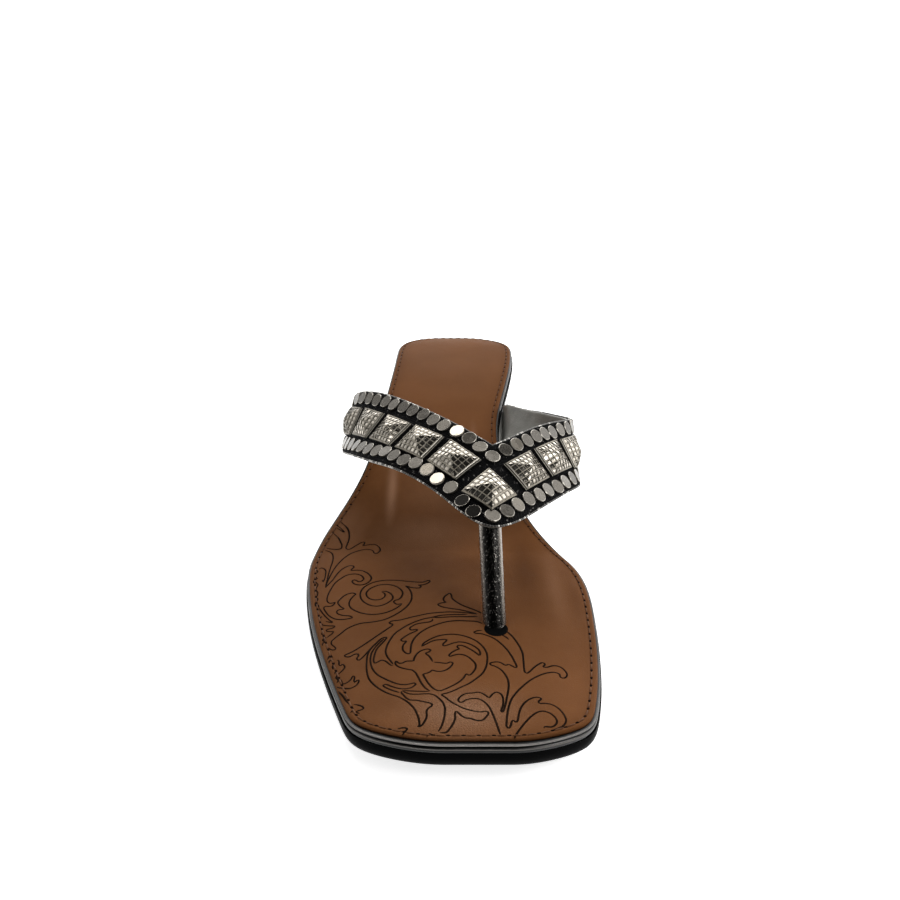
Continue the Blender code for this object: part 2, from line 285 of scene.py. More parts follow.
swell = addNode(grainGroup, "ShaderNodeTexNoise", {"Vector": start[0], "Scale": 160.0, "Detail": 4.0})
swollen = calc(grainGroup, "MULTIPLY", swell.outputs[0], start[2])
grainGroup.links.new(calc(grainGroup, "ADD", furrow, swollen), end[0])

# Mottle: two colours blended by slow noise
mottleGroup, start, end = newGroup(
    "mottle",
    [("Vector", "Vector", None), ("Scale", "Float", 40.0),
     ("First", "Color", None), ("Second", "Color", None)],
    ["Color"],
)
slow = addNode(
    mottleGroup, "ShaderNodeTexNoise",
    {"Vector": start[0], "Scale": start[1], "Detail": 5.0, "Roughness": 0.6},
)
share = span(mottleGroup, slow.outputs[0], 0.32, 0.68, 0.0, 1.0)
mottleGroup.links.new(blendColour(mottleGroup, share, start[2], start[3]), end[0])

# Handling wear: a roughness that wanders between two values
wearGroup, start, end = newGroup(
    "wear",
    [("Vector", "Vector", None), ("Scale", "Float", 60.0), ("Low", "Float", 0.3), ("High", "Float", 0.5)],
    ["Roughness"],
)
rubbed = addNode(
    wearGroup, "ShaderNodeTexNoise", {"Vector": start[0], "Scale": start[1], "Detail": 6.0, "Roughness": 0.7},
)
wearGroup.links.new(span(wearGroup, rubbed.outputs[0], 0.3, 0.7, start[2], start[3]), end[0])

# Weave: threads crossing over and under, with flecks that catch the light
weaveGroup, start, end = newGroup(
    "weave",
    [("Vector", "Vector", None), ("Pitch", "Float", 0.9), ("Flecks", "Float", 0.2)],
    ["Height", "Glint"],
)
counted = addNode(weaveGroup, "ShaderNodeVectorMath", {0: start[0], 1: start[1]}, operation="DIVIDE")
counted = counted.outputs[0]
axes = addNode(weaveGroup, "ShaderNodeSeparateXYZ", {0: counted}).outputs
waves = [calc(weaveGroup, "SINE", calc(weaveGroup, "MULTIPLY", axes[k], np.pi)) for k in range(2)]
crossed = calc(weaveGroup, "ABSOLUTE", calc(weaveGroup, "MULTIPLY", *waves))
flecks = addNode(
    weaveGroup, "ShaderNodeTexVoronoi", {"Vector": counted, "Scale": 1.6}, voronoi_dimensions="2D",
)
chance = addNode(weaveGroup, "ShaderNodeSeparateColor", {0: flecks.outputs["Color"]}).outputs[0]
weaveGroup.links.new(crossed, end[0])
glint = calc(weaveGroup, "MULTIPLY", calc(weaveGroup, "LESS_THAN", chance, start[2]), crossed)
weaveGroup.links.new(glint, end[1])


# In each piece's settings, colours holds a mottle's scale and its two colours, wear holds scale, low and
# high roughness, and grain holds scale, swell, depth in metres and strength

def addMottle(tree, where, scale, first, second):
    return useGroup(tree, mottleGroup, Vector=where, Scale=scale, First=first, Second=second)[0]


def addWear(tree, shader, where, scale, low, high):
    feed(tree, shader, Roughness=useGroup(tree, wearGroup, Vector=where, Scale=scale, Low=low, High=high)[0])


def addGrain(tree, shader, where, scale, swell, depth, strength):
    grain = useGroup(tree, grainGroup, Vector=where, Scale=scale, Swell=swell)[0]
    addBump(tree, shader, grain, depth, strength)


print("node groups ready")


# The sole's plan and lift, shared by the layers

sole = {
    "length": 245.0, "toeSpring": 4.0, "flatStart": 49.0, "flatEnd": 98.0, "heelLift": 40.0,
    "risePower": 0.78, "rows": 500, "sidePoints": 300, "spine": 0.84, "flareFrom": -2.0, "flareBand": 0.75,
    "batch": 4000,
    # y, outer x, inner x
    "outline": np.array([
        (0, -1, 15), (2.3, -14, 26), (7, -23, 34), (15, -27.6, 37.8), (38, -35.8, 42.1), (63, -43.2, 44.4),
        (78, -46.2, 44.5), (93, -47.6, 41.4), (108, -45.4, 33.8), (125, -39.2, 26), (144, -32.9, 20.8),
        (166, -29.3, 19.2), (189, -26.8, 23.1), (211, -24.9, 27.2), (225, -24.2, 28.4), (235, -22.3, 26.4),
        (241.5, -16.5, 19), (245, -4.5, 6),
    ], float),
}


def liftAt(y):
    # Toe: spring times the squared share before the flat; heel: a smooth step over the share behind it
    toe = sole["toeSpring"] * np.clip(1 - y / sole["flatStart"], 0, None) ** 2
    share = np.clip((y - sole["flatEnd"]) / (sole["length"] - sole["flatEnd"]), 0, 1) ** sole["risePower"]
    return toe + sole["heelLift"] * share ** 2 * (3 - 2 * share)


def planAngle(y):
    return np.arccos(np.clip(1 - 2 * np.asarray(y, float) / sole["length"], -1, 1))


def edgeX(y):
    return curveThrough(planAngle(sole["outline"][:, 0]), sole["outline"][:, 1:], planAngle(y))


def planLoop():
    # Outer edge from toe to heel and back along the inner edge, with the outward normal at each point
    half = sole["length"] / 2
    y = half * (1 - np.cos(np.linspace(0, np.pi, sole["rows"])))
    edge = edgeX(y)
    toeTip = np.array([[edge[0].mean(), 0.0]])
    heelTip = np.array([[edge[-1].mean(), sole["length"]]])
    sides = [np.vstack([toeTip, np.column_stack([edge[:, k], y]), heelTip]) for k in range(2)]
    sides = [evenly(side, sole["sidePoints"]) for side in sides]
    middle = (sides[0] + sides[1]) / 2
    spineY = half + (middle[:, 1] - half) * sole["spine"]
    spine = np.column_stack([np.interp(spineY, middle[:, 1], middle[:, 0]), spineY])
    loop = np.vstack([sides[0], sides[1][-2:0:-1]])
    along = unit(np.roll(loop, -2, axis=0) - np.roll(loop, 2, axis=0))
    return loop, leftOf(along), np.vstack([spine, spine[-2:0:-1]])


soleEdge, soleNormal, soleSpine = planLoop()


def ringColumn(profile, shares, k):
    # One column of the profile, its ends repeated for the rings under and over the edge
    return np.pad(np.array([row[k] for row in profile], float), len(shares), mode="edge")


def soleRings(profile, base, shares, top=None, flare=0.0):
    # Rings of the outline: outwards under the layer, up its edge, inwards over it to the spine
    wider = flare * soleNormal[:, :1] ** 2  # the sides move, toe and heel stay
    first, last = (soleEdge + row[0] * soleNormal for row in (profile[0], profile[-1]))
    under = [soleSpine + (first - soleSpine) * share for share in shares]
    fades = [np.clip((row[0] - sole["flareFrom"]) / sole["flareBand"], 0, 1) for row in profile]
    edge = [soleEdge + (row[0] + wider * fade) * soleNormal for row, fade in zip(profile, fades)]
    over = [soleSpine + (last - soleSpine) * share for share in shares[::-1]]
    plan = np.stack(under + edge + over)
    z = liftAt(plan[..., 1]) + base + ringColumn(profile, shares, 1)[:, None]
    if top is not None:
        z[-len(shares):] = top(plan[-len(shares):])
    return np.dstack([plan, z])


# Foot bed: leather over foam, rounded at the edge, with a stitched groove and a low crown

bed = {
    "base": 7.2, "fill": 0.75, "flare": 0.55, "edgeDarkening": 0.3, "edgeFade": (0.5, 6.5),
    # reach over the outline, height
    "edge": [
        (-1.25, 0.2), (-0.95, 0.28), (-0.8, 0.5), (-0.78, 0.8), (-0.88, 1.05), (-1.08, 1.24), (-1.3, 1.36),
    ],
    # knots of the rise over the inset, then the insets of the rings
    "inset": (0.35, 0.7, 1.2, 1.7, 2.1, 2.5, 3.2, 4.4, 6.5, 11.0, 20.0, 32.0, 50.0),
    "rise": (1.19, 1.34, 1.43, 1.42, 1.37, 1.45, 1.58, 1.76, 2.0, 2.36, 2.72, 2.92, 3.0),
    "rings": (1.5, 1.7, 1.9, 2.1, 2.3, 2.5, 2.8, 3.2, 3.7, 4.3, 5.0, 5.8, 6.6, 7.4, 8.3),
    "shares": np.linspace(0, 1, 24, endpoint=False) ** 0.9,
    "ior": 1.08, "specular": 0.3, "wear": (45.0, 0.40, 0.54), "grain": (1500.0, 0.6, 0.00006, 0.7),
    "colours": (26.0, (0.121, 0.0475, 0.0160, 1), (0.162, 0.0640, 0.0225, 1)),
    # dark: colour of the painted shade and of the darkening towards the edge
    "dark": (0.088, 0.0335, 0.0105, 1), "paintedHighlightColour": (0.29, 0.152, 0.086, 1),
    # pebbled place by the toe painted paler as a sheen, then painted highlights and painted shade: centre x
    # and y, half sizes, share
    "pebbleAndSheen": (3.0, 11.5, 12.0, 8.0, 0.85),
    "pebbleGrain": (0.0, 0.85, 0.4, 8.0),  # range of the share, grain's strength over it
    "paintedHighlights": [(34.0, 77.0, 2.8, 20.0, 0.26), (-22.0, 131.0, 1.7, 15.0, 0.85), (9.5, 153.0, 1.3, 11.0, 0.5),
               (0.0, 214.0, 24.0, 34.0, 0.16), (-38.0, 113.0, 8.0, 11.0, 0.2), (-2.0, 128.0, 14.0, 9.0, 0.2),
               (-9.0, 109.0, 15.0, 7.5, 0.3)],
    "paintedShades": [(25.0, 88.0, 5.0, 24.0, 0.75), (40.0, 70.0, 2.6, 14.0, 0.5), (-17.0, 15.5, 8.0, 5.0, 0.5),
              (21.0, 14.0, 6.0, 5.0, 0.3), (9.0, 88.0, 12.0, 6.5, 0.6)],
    # fold beside the inner stitches: inset, half width, depth; from y to y, fade
    "fold": (3.5, 0.35, 0.12), "foldSpan": (34.0, 78.0, 6.0),
    # slow waves beside the outer waist: peak inset, period, height; from y to y, fade; insets, fade
    "waves": (14.0, 7.2, 0.13), "waveSpan": (104.0, 150.0, 10.0), "waveBand": (5.0, 18.0, 2.5),
    # soft creases by the toe: start, end, half width, depth
    "creases": [((-22.0, 16.0), (-11.5, 9.8), 0.9, 0.10), ((-24.0, 20.0), (-15.0, 12.6), 1.0, 0.07)],
    "creaseEnd": 0.02,
}


def insideDistance(plan):
    flat = plan.reshape(-1, 2)
    found = np.empty(len(flat))
    for part in np.array_split(np.arange(len(flat)), max(1, len(flat) // sole["batch"])):
        gaps = flat[part][:, None] - soleEdge[None]
        found[part] = np.sqrt((gaps ** 2).sum(axis=-1).min(axis=1))
    return found.reshape(plan.shape[:-1])


def bedTop(plan):
    # Lift of the sole plus the edge's rise over the distance inwards from the outline,
    # with fold and creases as bell-shaped troughs and the waves as a cosine
    inset = np.clip(insideDistance(plan), bed["inset"][0], bed["inset"][-1])
    x, y = plan[..., 0], plan[..., 1]
    rise = curveThrough(bed["inset"], bed["rise"], inset)
    at, wide, deep = bed["fold"]
    rise = rise - deep * np.exp(-((inset - at) / wide) ** 2) * window(y, *bed["foldSpan"]) * (x > 0)
    peak, period, tall = bed["waves"]
    wave = np.cos(2 * np.pi * (inset - peak) / period) * window(inset, *bed["waveBand"])
    rise = rise + tall * wave * window(y, *bed["waveSpan"]) * (x < 0)
    for first, last, wide, deep in bed["creases"]:
        first, along = np.array(first), np.subtract(last, first)
        share = np.clip((plan - first) @ along / (along @ along), 0, 1)
        away = np.linalg.norm(plan - first - share[..., None] * along, axis=-1)
        fade = np.sin(np.pi * np.clip(share, bed["creaseEnd"], 1 - bed["creaseEnd"]))
        rise = rise - deep * np.exp(-(away / wide) ** 2) * fade
    return liftAt(y) + bed["base"] + rise


def softPatch(points, patch):
    # Bell shape over the plan: share times e to the minus squared distance in half sizes
    away = (points[..., :2] - patch[:2]) / np.array(patch[2:4])
    return patch[4] * np.exp(-(away ** 2).sum(axis=-1))


def bedLook():
    ior, specular = bed["ior"], bed["specular"]
    look, tree, shader, where = newLook("foot bed leather", IOR=ior, Specular_IOR_Level=specular)
    # The pebbled place: deeper grain, and painted paler as a sheen
    pebbleAndSheenMask = attribute(tree, "pebbleAndSheen")
    colour = addMottle(tree, where, *bed["colours"])
    # Painted shade: darker under the shade patches, and also darker towards the edge
    colour = blendColour(tree, attribute(tree, "paintedShadeAndEdgeDark"), colour, bed["dark"])
    # Painted highlight and sheen: paler under the highlight patches and on the pebbled place by the toe
    pale = calc(tree, "MAXIMUM", pebbleAndSheenMask, attribute(tree, "paintedHighlight"))
    feed(tree, shader, Base_Color=blendColour(tree, pale, colour, bed["paintedHighlightColour"]))
    addWear(tree, shader, where, *bed["wear"])
    scale, swell, depth, strength = bed["grain"]
    grain = useGroup(tree, grainGroup, Vector=where, Scale=scale, Swell=swell)[0]
    height = calc(tree, "MULTIPLY", grain, span(tree, pebbleAndSheenMask, *bed["pebbleGrain"]))
    addBump(tree, shader, height, depth, strength)
    return look


def footBed():
    rises = curveThrough(bed["inset"], bed["rise"], bed["rings"])
    profile = bed["edge"] + [(-inset, rise) for inset, rise in zip(bed["rings"], rises)]
    points = soleRings(profile, bed["base"], bed["shares"], bedTop, bed["flare"])
    faces = gridFaces(*points.shape[:2], wrap=True)
    # Painted highlights and painted shade: soft patches over the plan
    patches = [[softPatch(points, patch) for patch in bed[kind]] for kind in ("paintedHighlights", "paintedShades")]
    paintedHighlights, paintedShades = (np.maximum.reduce(group) for group in patches)
    # Darker towards the edge as well, joined to the painted shade
    rim = 1 - smoothStep(*bed["edgeFade"], insideDistance(points[..., :2]))
    paintedShades = np.maximum(paintedShades, bed["edgeDarkening"] * rim)
    values = {"paintedShadeAndEdgeDark": paintedShades, "pebbleAndSheen": softPatch(points, bed["pebbleAndSheen"]), "paintedHighlight": paintedHighlights}
    piece = makePiece("foot_bed_leather", points, faces, bedLook(), values=values)
    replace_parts(piece, "foot_bed")


footBed()
print("foot bed ready")


# Stitches round the foot bed: threads that dip into needle holes painted dark as their shade

stitch = {
    "inset": 2.0, "pitch": 3.7, "radius": 0.24, "length": 0.70, "rings": 9, "sides": 8, "arch": 0.10,
    "endSink": 1.7, "endTaper": 0.4, "colours": (300.0, (0.075, 0.028, 0.010, 1), (0.16, 0.066, 0.024, 1)),
    # half length and half width of a hole; heights of its crown, rim and foot
    "hole": (0.68, 0.47), "holeLevels": (0.07, 0.02, -0.3), "spokes": 10, "probe": 0.5,
    "holeShadeColour": (0.006, 0.003, 0.002, 1),
}


def stitchThreads(line, count, pitch):
    # Thread: a tube between two holes whose height follows an arch and whose ends sink
    share = np.linspace(-1, 1, stitch["rings"])
    plan = pathAt(line, (np.arange(count)[:, None] + 0.5 + 0.5 * stitch["length"] * share) * pitch)
    arch = stitch["arch"] * (1 - stitch["endSink"] * np.abs(share) ** 3)
    paths = np.concatenate([plan, (bedTop(plan) + arch)[..., None]], axis=-1)
    radius, sides = stitch["radius"] * (1 - stitch["endTaper"] * share ** 4), stitch["sides"]
    rings = np.stack([ringsAlong(path, (0.0, 0.0, 1.0), radius, sides) for path in paths])
    size = stitch["rings"] * sides
    walls = copiesOf(gridFaces(stitch["rings"], sides, wrap=True), size, count)
    ends = np.vstack([np.arange(sides)[::-1], np.arange(sides) + size - sides])
    faces = walls.tolist() + copiesOf(ends, size, count).tolist()
    look, tree, shader, where = newLook("stitch thread", Roughness=0.55, IOR=1.2)
    feed(tree, shader, Base_Color=addMottle(tree, where, *stitch["colours"]))
    makePiece("bed_stitches", rings, faces, look)


def needleHoles(line, at):
    # Hole: a shallow lens painted dark as the hole's shade, at each end of a thread, a crown and a foot
    # joined by a rim of spokes
    centre, spokes = pathAt(line, at), stitch["spokes"]
    along = unit(pathAt(line, at + stitch["probe"]) - pathAt(line, np.maximum(at - stitch["probe"], 0)))
    turn = roundTurn(spokes)[None, :, None]
    long, wide = stitch["hole"]
    longways, sideways = along[:, None], leftOf(along)[:, None]
    rim = centre[:, None] + long * np.cos(turn) * longways + wide * np.sin(turn) * sideways
    plan = np.concatenate([centre[:, None], rim, centre[:, None]], axis=1)
    levels = np.repeat(stitch["holeLevels"], (1, spokes, 1))
    points = np.dstack([plan, bedTop(centre)[:, None] + levels])
    first = np.arange(spokes) + 1
    after = np.roll(first, -1)
    cap = np.column_stack([np.zeros(spokes, int), first, after])
    base = np.column_stack([np.full(spokes, spokes + 1), after, first])
    look = newLook("needle holes", Base_Color=stitch["holeShadeColour"], Roughness=0.8, IOR=1.05)[0]
    faces = copiesOf(np.vstack([cap, base]), spokes + 2, len(at))
    makePiece("needle_holes", points, faces, look)


def stitches():
    line = soleEdge - stitch["inset"] * soleNormal
    line = np.vstack([line, line[:1]])
    total = reachAlong(line)[-1]
    count = int(round(total / stitch["pitch"]))
    stitchThreads(line, count, total / count)
    needleHoles(line, np.arange(count) * (total / count))


stitches()
print("stitches ready")


# Etched scrolls: centre lines charted in the view's frame, carried onto the foot bed along the sight lines

scroll = {
    "halfWidth": 0.29, "step": 0.45, "steps": 6, "fewest": 6, "taper": 3, "proud": 0.03, "edge": 0.01,
    "keel": 0.1, "startHeight": 12.0, "passes": 12,
    "colours": (120.0, (0.006, 0.0035, 0.002, 1), (0.018, 0.009, 0.005, 1)),
    # column and row in the view's frame, along each line
    "strokes": [
        [(340.5, 521.5), (345, 525.3), (348, 529.2), (349.3, 533.7), (349, 539.7), (347, 545), (346.1, 547.7),
         (347.7, 549.3), (350.7, 548.7), (356.7, 545), (362, 542.2), (364.5, 542), (364.3, 544), (363, 545.5),
         (366.7, 545), (372, 544.2), (376.7, 545), (379.7, 547.7), (380.3, 549.7), (378.7, 552.3),
         (376, 553.5), (374, 552.7), (373.3, 551), (370.7, 549.7), (365.3, 549.3), (358.7, 550.7),
         (350.7, 553.7), (344, 558.3), (340, 562), (335.3, 567.7), (331.3, 574.3), (328, 581),
         (325.3, 587.7)],
        [(335.8, 524.6), (338.8, 526.3), (342.1, 529.2), (344.2, 532.1), (340, 529.6), (336.7, 527.9)],
        [(333.3, 533), (337.3, 536.3), (340.7, 541.7), (342, 545.7), (341.3, 548.3), (337.3, 549.3),
         (332, 549), (326, 548)],
        [(325.3, 588), (328.7, 584.3), (332.7, 580.3), (336, 575.7), (340, 571), (345.3, 567.3),
         (350.7, 565.7), (353.3, 566), (353.9, 567.3), (352.3, 568.7), (351.2, 570.3), (356.7, 570.2),
         (362, 570.7), (367.3, 573), (371, 576.7), (371.3, 579), (369.3, 581.7), (365.3, 584), (359.3, 585),
         (354.7, 584), (352.3, 582), (353.3, 580), (356, 580.3), (358.7, 581.7), (361.7, 581), (363.7, 578.7),
         (362, 576), (358, 574.3), (352.7, 574), (346.7, 575.3), (340.7, 578.7), (335.3, 583), (331.3, 589),
         (328, 595.7), (327.3, 600.7), (329.3, 603), (332.7, 603), (335.3, 602.3), (333.7, 604.7),
         (330.7, 606.3), (325.3, 606.5), (324, 608), (325.7, 611.3), (329.3, 615.7), (334.7, 618.7),
         (340, 619.5), (346.7, 619), (350.7, 618.3), (352.3, 617.5), (350, 616), (342.7, 615.3), (338, 613.7),
         (336.8, 612), (338.3, 610), (342.7, 609.3), (344.3, 608.7), (341.3, 607), (338.7, 604.3),
         (338.1, 602), (340, 599.7), (344, 596), (348.7, 593.7), (353.3, 593), (355.7, 594), (353.3, 596.3),
         (350.3, 600), (349.2, 604), (350.7, 607.7), (355.3, 610.7), (361.3, 613), (370, 614.3), (378.7, 614),
         (386.7, 612.3), (393.3, 609.7), (399, 606.3), (402.3, 603.3)],
        [(402.3, 603.3), (397.3, 604.3), (395, 603.3), (393.7, 601.7), (395.3, 600.3), (398.7, 599.3),
         (401.3, 597), (402.8, 593), (401.3, 590), (396.7, 586.7), (390, 584.7), (383.3, 584.5), (376, 586),
         (369.3, 589.3), (366.3, 593.3), (367.3, 596.7), (370.7, 599), (376, 599.9), (381.3, 599),
         (384.3, 597), (385.3, 595), (383.7, 592.7), (381.3, 592)],
        [(381.3, 591.9), (385.3, 591.3), (389.3, 592.7), (392.7, 596), (392.7, 598.7), (390, 601.3),
         (385.3, 604), (378.7, 606), (372, 605.7), (366, 603.3), (362, 600), (360.3, 596), (360.7, 592),
         (363.3, 588), (368.7, 584.3), (376, 581.7), (385.3, 580.3), (396.7, 580.3), (406.7, 581.2),
         (416.7, 582), (423.3, 582), (429.3, 580.3), (429.7, 581.7), (427.3, 583.3), (423.3, 584.8),
         (418, 585.2), (421, 586), (420, 587.7), (416, 588), (410.7, 587.3), (405.7, 586), (408.7, 588.3),
         (411.3, 592.7), (411.9, 597.3), (410.7, 601.3), (407.3, 606), (401.3, 611), (393.3, 615.7),
         (385.3, 619.3), (377.3, 621.2), (370, 622.3), (361.3, 623.3), (353.3, 625.7), (346.7, 629),
         (341.3, 633.3), (335.3, 638), (332, 641.3), (331.7, 644), (335.3, 647.3), (336, 649), (333.3, 650),
         (330.3, 649), (328, 647.7), (326.7, 649.3)],
        [(324.7, 550.3), (328.7, 551.3), (332, 553.3), (333.3, 557), (332.7, 561.7), (330.7, 567.7),
         (328.7, 574.3), (327, 581.7), (325.7, 587)],
        [(318.7, 569.3), (321.3, 568), (324.3, 568.7), (326, 571), (325.7, 575), (325, 578.3), (323.3, 581.7),
         (322.3, 579.7)],
        [(319.3, 608), (322, 612), (326, 616.7), (330, 620.3), (333, 622.5), (329.3, 622), (325.3, 621.3)],
        [(321.3, 623.3), (323.3, 625), (328.7, 625.7), (335.3, 626.3), (332.7, 628), (328, 629.3),
         (326.3, 630.7), (329.3, 631.5), (333.7, 631.7), (332, 634), (328.7, 636.3), (326.3, 638)],
        [(327.3, 660), (330.7, 655), (333, 657.7)],
        [(336.3, 661), (338, 660), (339.3, 661.7), (339.3, 664.7), (340.7, 665.7), (342.3, 664.3),
         (344.3, 665.3), (345, 667.3), (343.3, 670), (340, 673), (337, 675)],
        [(338, 681.7), (340, 679.7), (341.7, 680.7), (343, 683.7), (346.7, 683), (350.7, 680), (353.3, 676),
         (354.7, 677), (354.3, 681), (355, 682.3), (357.3, 680.3), (359, 680.3), (358.3, 683.3),
         (355.3, 686.3), (350.7, 688.3), (345.3, 688.5), (340, 688), (336.3, 686.7)],
        [(338, 691), (342.7, 695.7), (346.7, 701.7), (351.3, 706), (353.3, 709.7), (350, 713)],
        [(353.3, 704.3), (358, 705), (362, 706.3), (364, 708.3), (362, 709.7), (356.7, 711.7), (360, 714)],
        [(389.3, 622.7), (392.7, 624.7), (386.7, 629.3), (378.7, 634.7), (370, 640.7), (360, 647.3),
         (352, 652), (346, 654.7), (344.7, 655.7), (346, 656.7), (350, 656.7), (354.7, 654.3), (358, 654),
         (358.7, 655.7), (357, 658.7), (358.7, 660.3), (361.3, 658.7), (366, 654), (371.3, 648),
         (376.7, 642.7), (382, 638.3), (386.7, 637.3), (385.7, 639.3), (381.3, 644), (376.7, 649.3),
         (374.7, 654.7), (373.7, 660.7), (374.7, 663), (377.3, 662.3), (381.3, 660.3), (385.3, 661),
         (389.3, 664), (392, 665.7), (393.3, 664.7)],
        [(381.5, 638.7), (375.5, 644), (370.3, 649.7), (367.7, 655), (366.7, 663), (366.9, 671),
         (369.3, 679.3), (375, 685.6), (382.7, 690.8), (391, 694.5), (398, 696.7), (404.7, 700),
         (410.7, 704.7), (414.7, 709.3), (417.3, 714.7), (419, 720), (419.3, 725.3), (418, 726.7),
         (421.3, 725.7), (424.7, 721.3), (426.7, 716.7), (426.7, 710.7), (428.7, 708), (431.7, 706),
         (432, 704), (429.3, 703), (423.3, 701.7), (416, 700.3), (410, 700), (406.7, 698.3), (403.3, 694.7),
         (401.3, 692.3), (402.7, 690.7)],
        [(384.5, 638.3), (379, 643.3), (374, 649), (371.3, 654.3), (370.5, 661), (372.5, 668.7),
         (377.3, 674.5), (384.7, 678.7), (392, 682), (399.3, 684.3), (406, 684.7), (411.3, 683.7),
         (414.7, 683), (415.7, 684.2), (414, 686), (410.7, 688), (404.7, 689), (398, 688.3), (391.3, 686.3),
         (385.7, 684.4), (383.2, 685.6), (386.7, 688), (392.7, 690.5), (400, 692.8)],
        [(402.7, 690.3), (410, 691), (416.7, 691.3), (423.3, 691.5), (430.3, 691.3)],
        [(402, 690.3), (406, 692.7), (410, 694), (416.7, 694.3), (423.3, 694), (430, 694), (434.7, 695.3),
         (439.3, 698.7), (443.3, 703.3), (445, 708.7), (444.7, 714.7), (443.3, 721.3), (441.3, 726.7),
         (438, 732)],
        [(393.3, 664.7), (390.7, 661), (387.3, 656.7), (385.7, 652), (386.7, 646.7), (390, 640),
         (395.3, 633.3), (400.7, 629.3), (407.3, 625.3), (415.3, 621.7), (423.3, 619), (432, 617.3),
         (440, 615.5), (450, 614.7), (460, 614.5), (468, 614.3)],
        [(393.7, 624.7), (389.3, 623), (391.3, 621.3), (400, 620), (410, 617.5), (420, 615.2), (430, 613.3),
         (440, 612.4), (450, 611.9), (460, 612.2), (466.7, 612.7), (472, 613.3), (477.3, 614.1)],
        [(432, 617.3), (436.7, 617.5), (443.3, 617.2), (453.3, 616.7), (466.7, 616.6), (478.7, 616.5)],
        [(432, 618.3), (432.7, 620), (430, 621.7), (423.3, 622.7), (416.7, 624), (412, 626.3), (409.7, 628.3),
         (411.3, 630), (416, 629.3), (417.7, 629.7), (415.3, 631.3), (408.7, 634.3), (403.3, 637.7),
         (401, 640), (403.3, 641.3), (406.7, 641), (404, 644), (402.7, 647.3), (403, 650), (405.3, 652.7),
         (408, 653.7), (410, 653.3), (410.7, 649.3), (411.3, 644.7), (413.3, 640), (416.7, 635.7),
         (422, 631.3), (429.3, 627.3), (438, 624), (446.7, 621.7), (457, 620.6), (467, 620.9), (477.3, 621.7),
         (482.7, 623.7)],
        [(482.7, 613.7), (477.3, 611), (469, 607.8), (463, 605.5), (456.7, 602), (452, 598), (451.5, 595.3),
         (450, 593.3), (446.7, 594.7), (443.6, 598.2), (444, 600.8), (446, 602.3), (442, 602.8), (438, 604.3),
         (440.7, 606.3), (450, 608.3), (460, 609.7), (470, 612), (477.3, 614)],
        [(421.3, 646.7), (424, 643), (430, 639.3), (438, 636), (446.7, 634.5), (454.7, 634.3), (463.3, 635.7),
         (472, 638.7), (478.7, 642.7), (484, 648), (487, 654.3), (487.3, 660.3), (486, 667), (482.7, 673),
         (476.7, 678.3), (468.7, 683.7), (460, 687.7), (455.3, 690), (448.7, 692.7), (441.7, 694.7),
         (445.3, 697.3), (451.3, 702), (458, 705.7), (464.7, 708.7), (473.3, 711), (480, 712), (487.5, 711.6),
         (488.5, 713), (486, 717), (482.7, 720), (478, 720.7), (470, 718.3), (466, 718), (462, 716),
         (456, 711.3), (455, 713.6), (455.2, 718), (453.3, 723.3), (449.3, 729.3), (446.5, 732.3),
         (439, 732.7)],
        [(421.3, 646.7), (426.7, 643.7), (433.3, 640.7), (440, 639.7), (446.7, 639.7), (446, 641.3),
         (443.3, 643.7), (443.3, 645.7), (446.7, 645.3), (453.3, 643), (460, 641.9), (466.7, 643),
         (473.3, 645.7), (478.7, 649.7), (480.3, 653), (479.7, 655.3), (475.3, 652.3), (468.7, 648.3),
         (462.7, 645.7), (458, 645.5), (457.3, 647), (459.3, 648.7), (456, 650), (452, 652.3), (449, 655.3),
         (449.7, 656.3), (453.3, 655.3), (460, 654.3), (466, 655.7), (471.3, 659.3), (475.3, 663.7),
         (475.7, 667.7), (473, 672.3), (469.3, 675.3), (466.5, 673.9), (463.5, 678), (458, 682.7),
         (451.3, 686.3), (444.7, 689.3), (439.3, 690.9), (434.7, 689.3), (430, 685.3), (426.7, 680.7),
         (424.3, 676.7), (423.3, 674.3), (426.7, 673.3), (430, 672), (432, 670.3), (436.7, 671.3),
         (442, 671.3), (447.3, 669.3), (451.3, 666), (452.7, 663), (450.7, 662), (446.7, 663.3), (440, 662.7),
         (433, 662)],
        [(432.7, 662), (431.3, 659), (428.7, 655.7), (425.7, 653.3), (429.3, 651.7), (430.7, 650),
         (428.7, 649.1), (424.7, 649.5), (420, 651.3), (416, 655), (414, 659), (413.7, 660.7), (410, 661),
         (406, 661.3), (402.7, 663), (400, 663.3), (398, 662.7), (396.3, 661), (395.3, 663.2), (397.3, 666),
         (402, 668), (407.3, 669.3), (412, 670), (413.3, 670.7), (416, 673.3), (418, 676.7), (420.7, 682),
         (424.7, 687.3), (428.7, 690.3), (430.3, 691.3)],
        [(482.7, 630.3), (477.3, 630.7), (474, 632.3), (476, 633.3), (481.3, 633.7), (486.7, 635.3),
         (493.3, 638), (500, 642.7), (506.7, 649.3), (512, 656.7), (514.5, 661.5), (516.7, 666.7),
         (515.7, 667.7), (512, 666), (508.7, 664.5), (505.3, 665.3), (502, 663.3), (498, 662), (492.7, 662.3),
         (490, 663.3), (490.7, 664.7), (496, 666.7), (501.3, 670), (505.3, 674.7), (508, 680), (508.7, 686),
         (508, 692), (506.7, 698.7), (505.3, 705.3), (503.3, 711.3), (502, 712.3), (501.3, 710.7),
         (503, 705.3), (503.3, 700), (502, 695.3), (499.3, 693), (496, 692.3), (492.7, 694), (490, 697),
         (489, 697.7), (486, 695.7), (482, 693.3), (478, 692.3), (473.3, 693), (466, 693.7), (461.3, 696),
         (458.3, 699.3), (459.3, 702), (462, 702.3), (466, 700), (472, 698.7), (478.7, 699), (484.7, 702.2),
         (489, 706.8), (492.5, 713.4), (495.3, 720.3), (498, 727.7), (500.7, 735.7)],
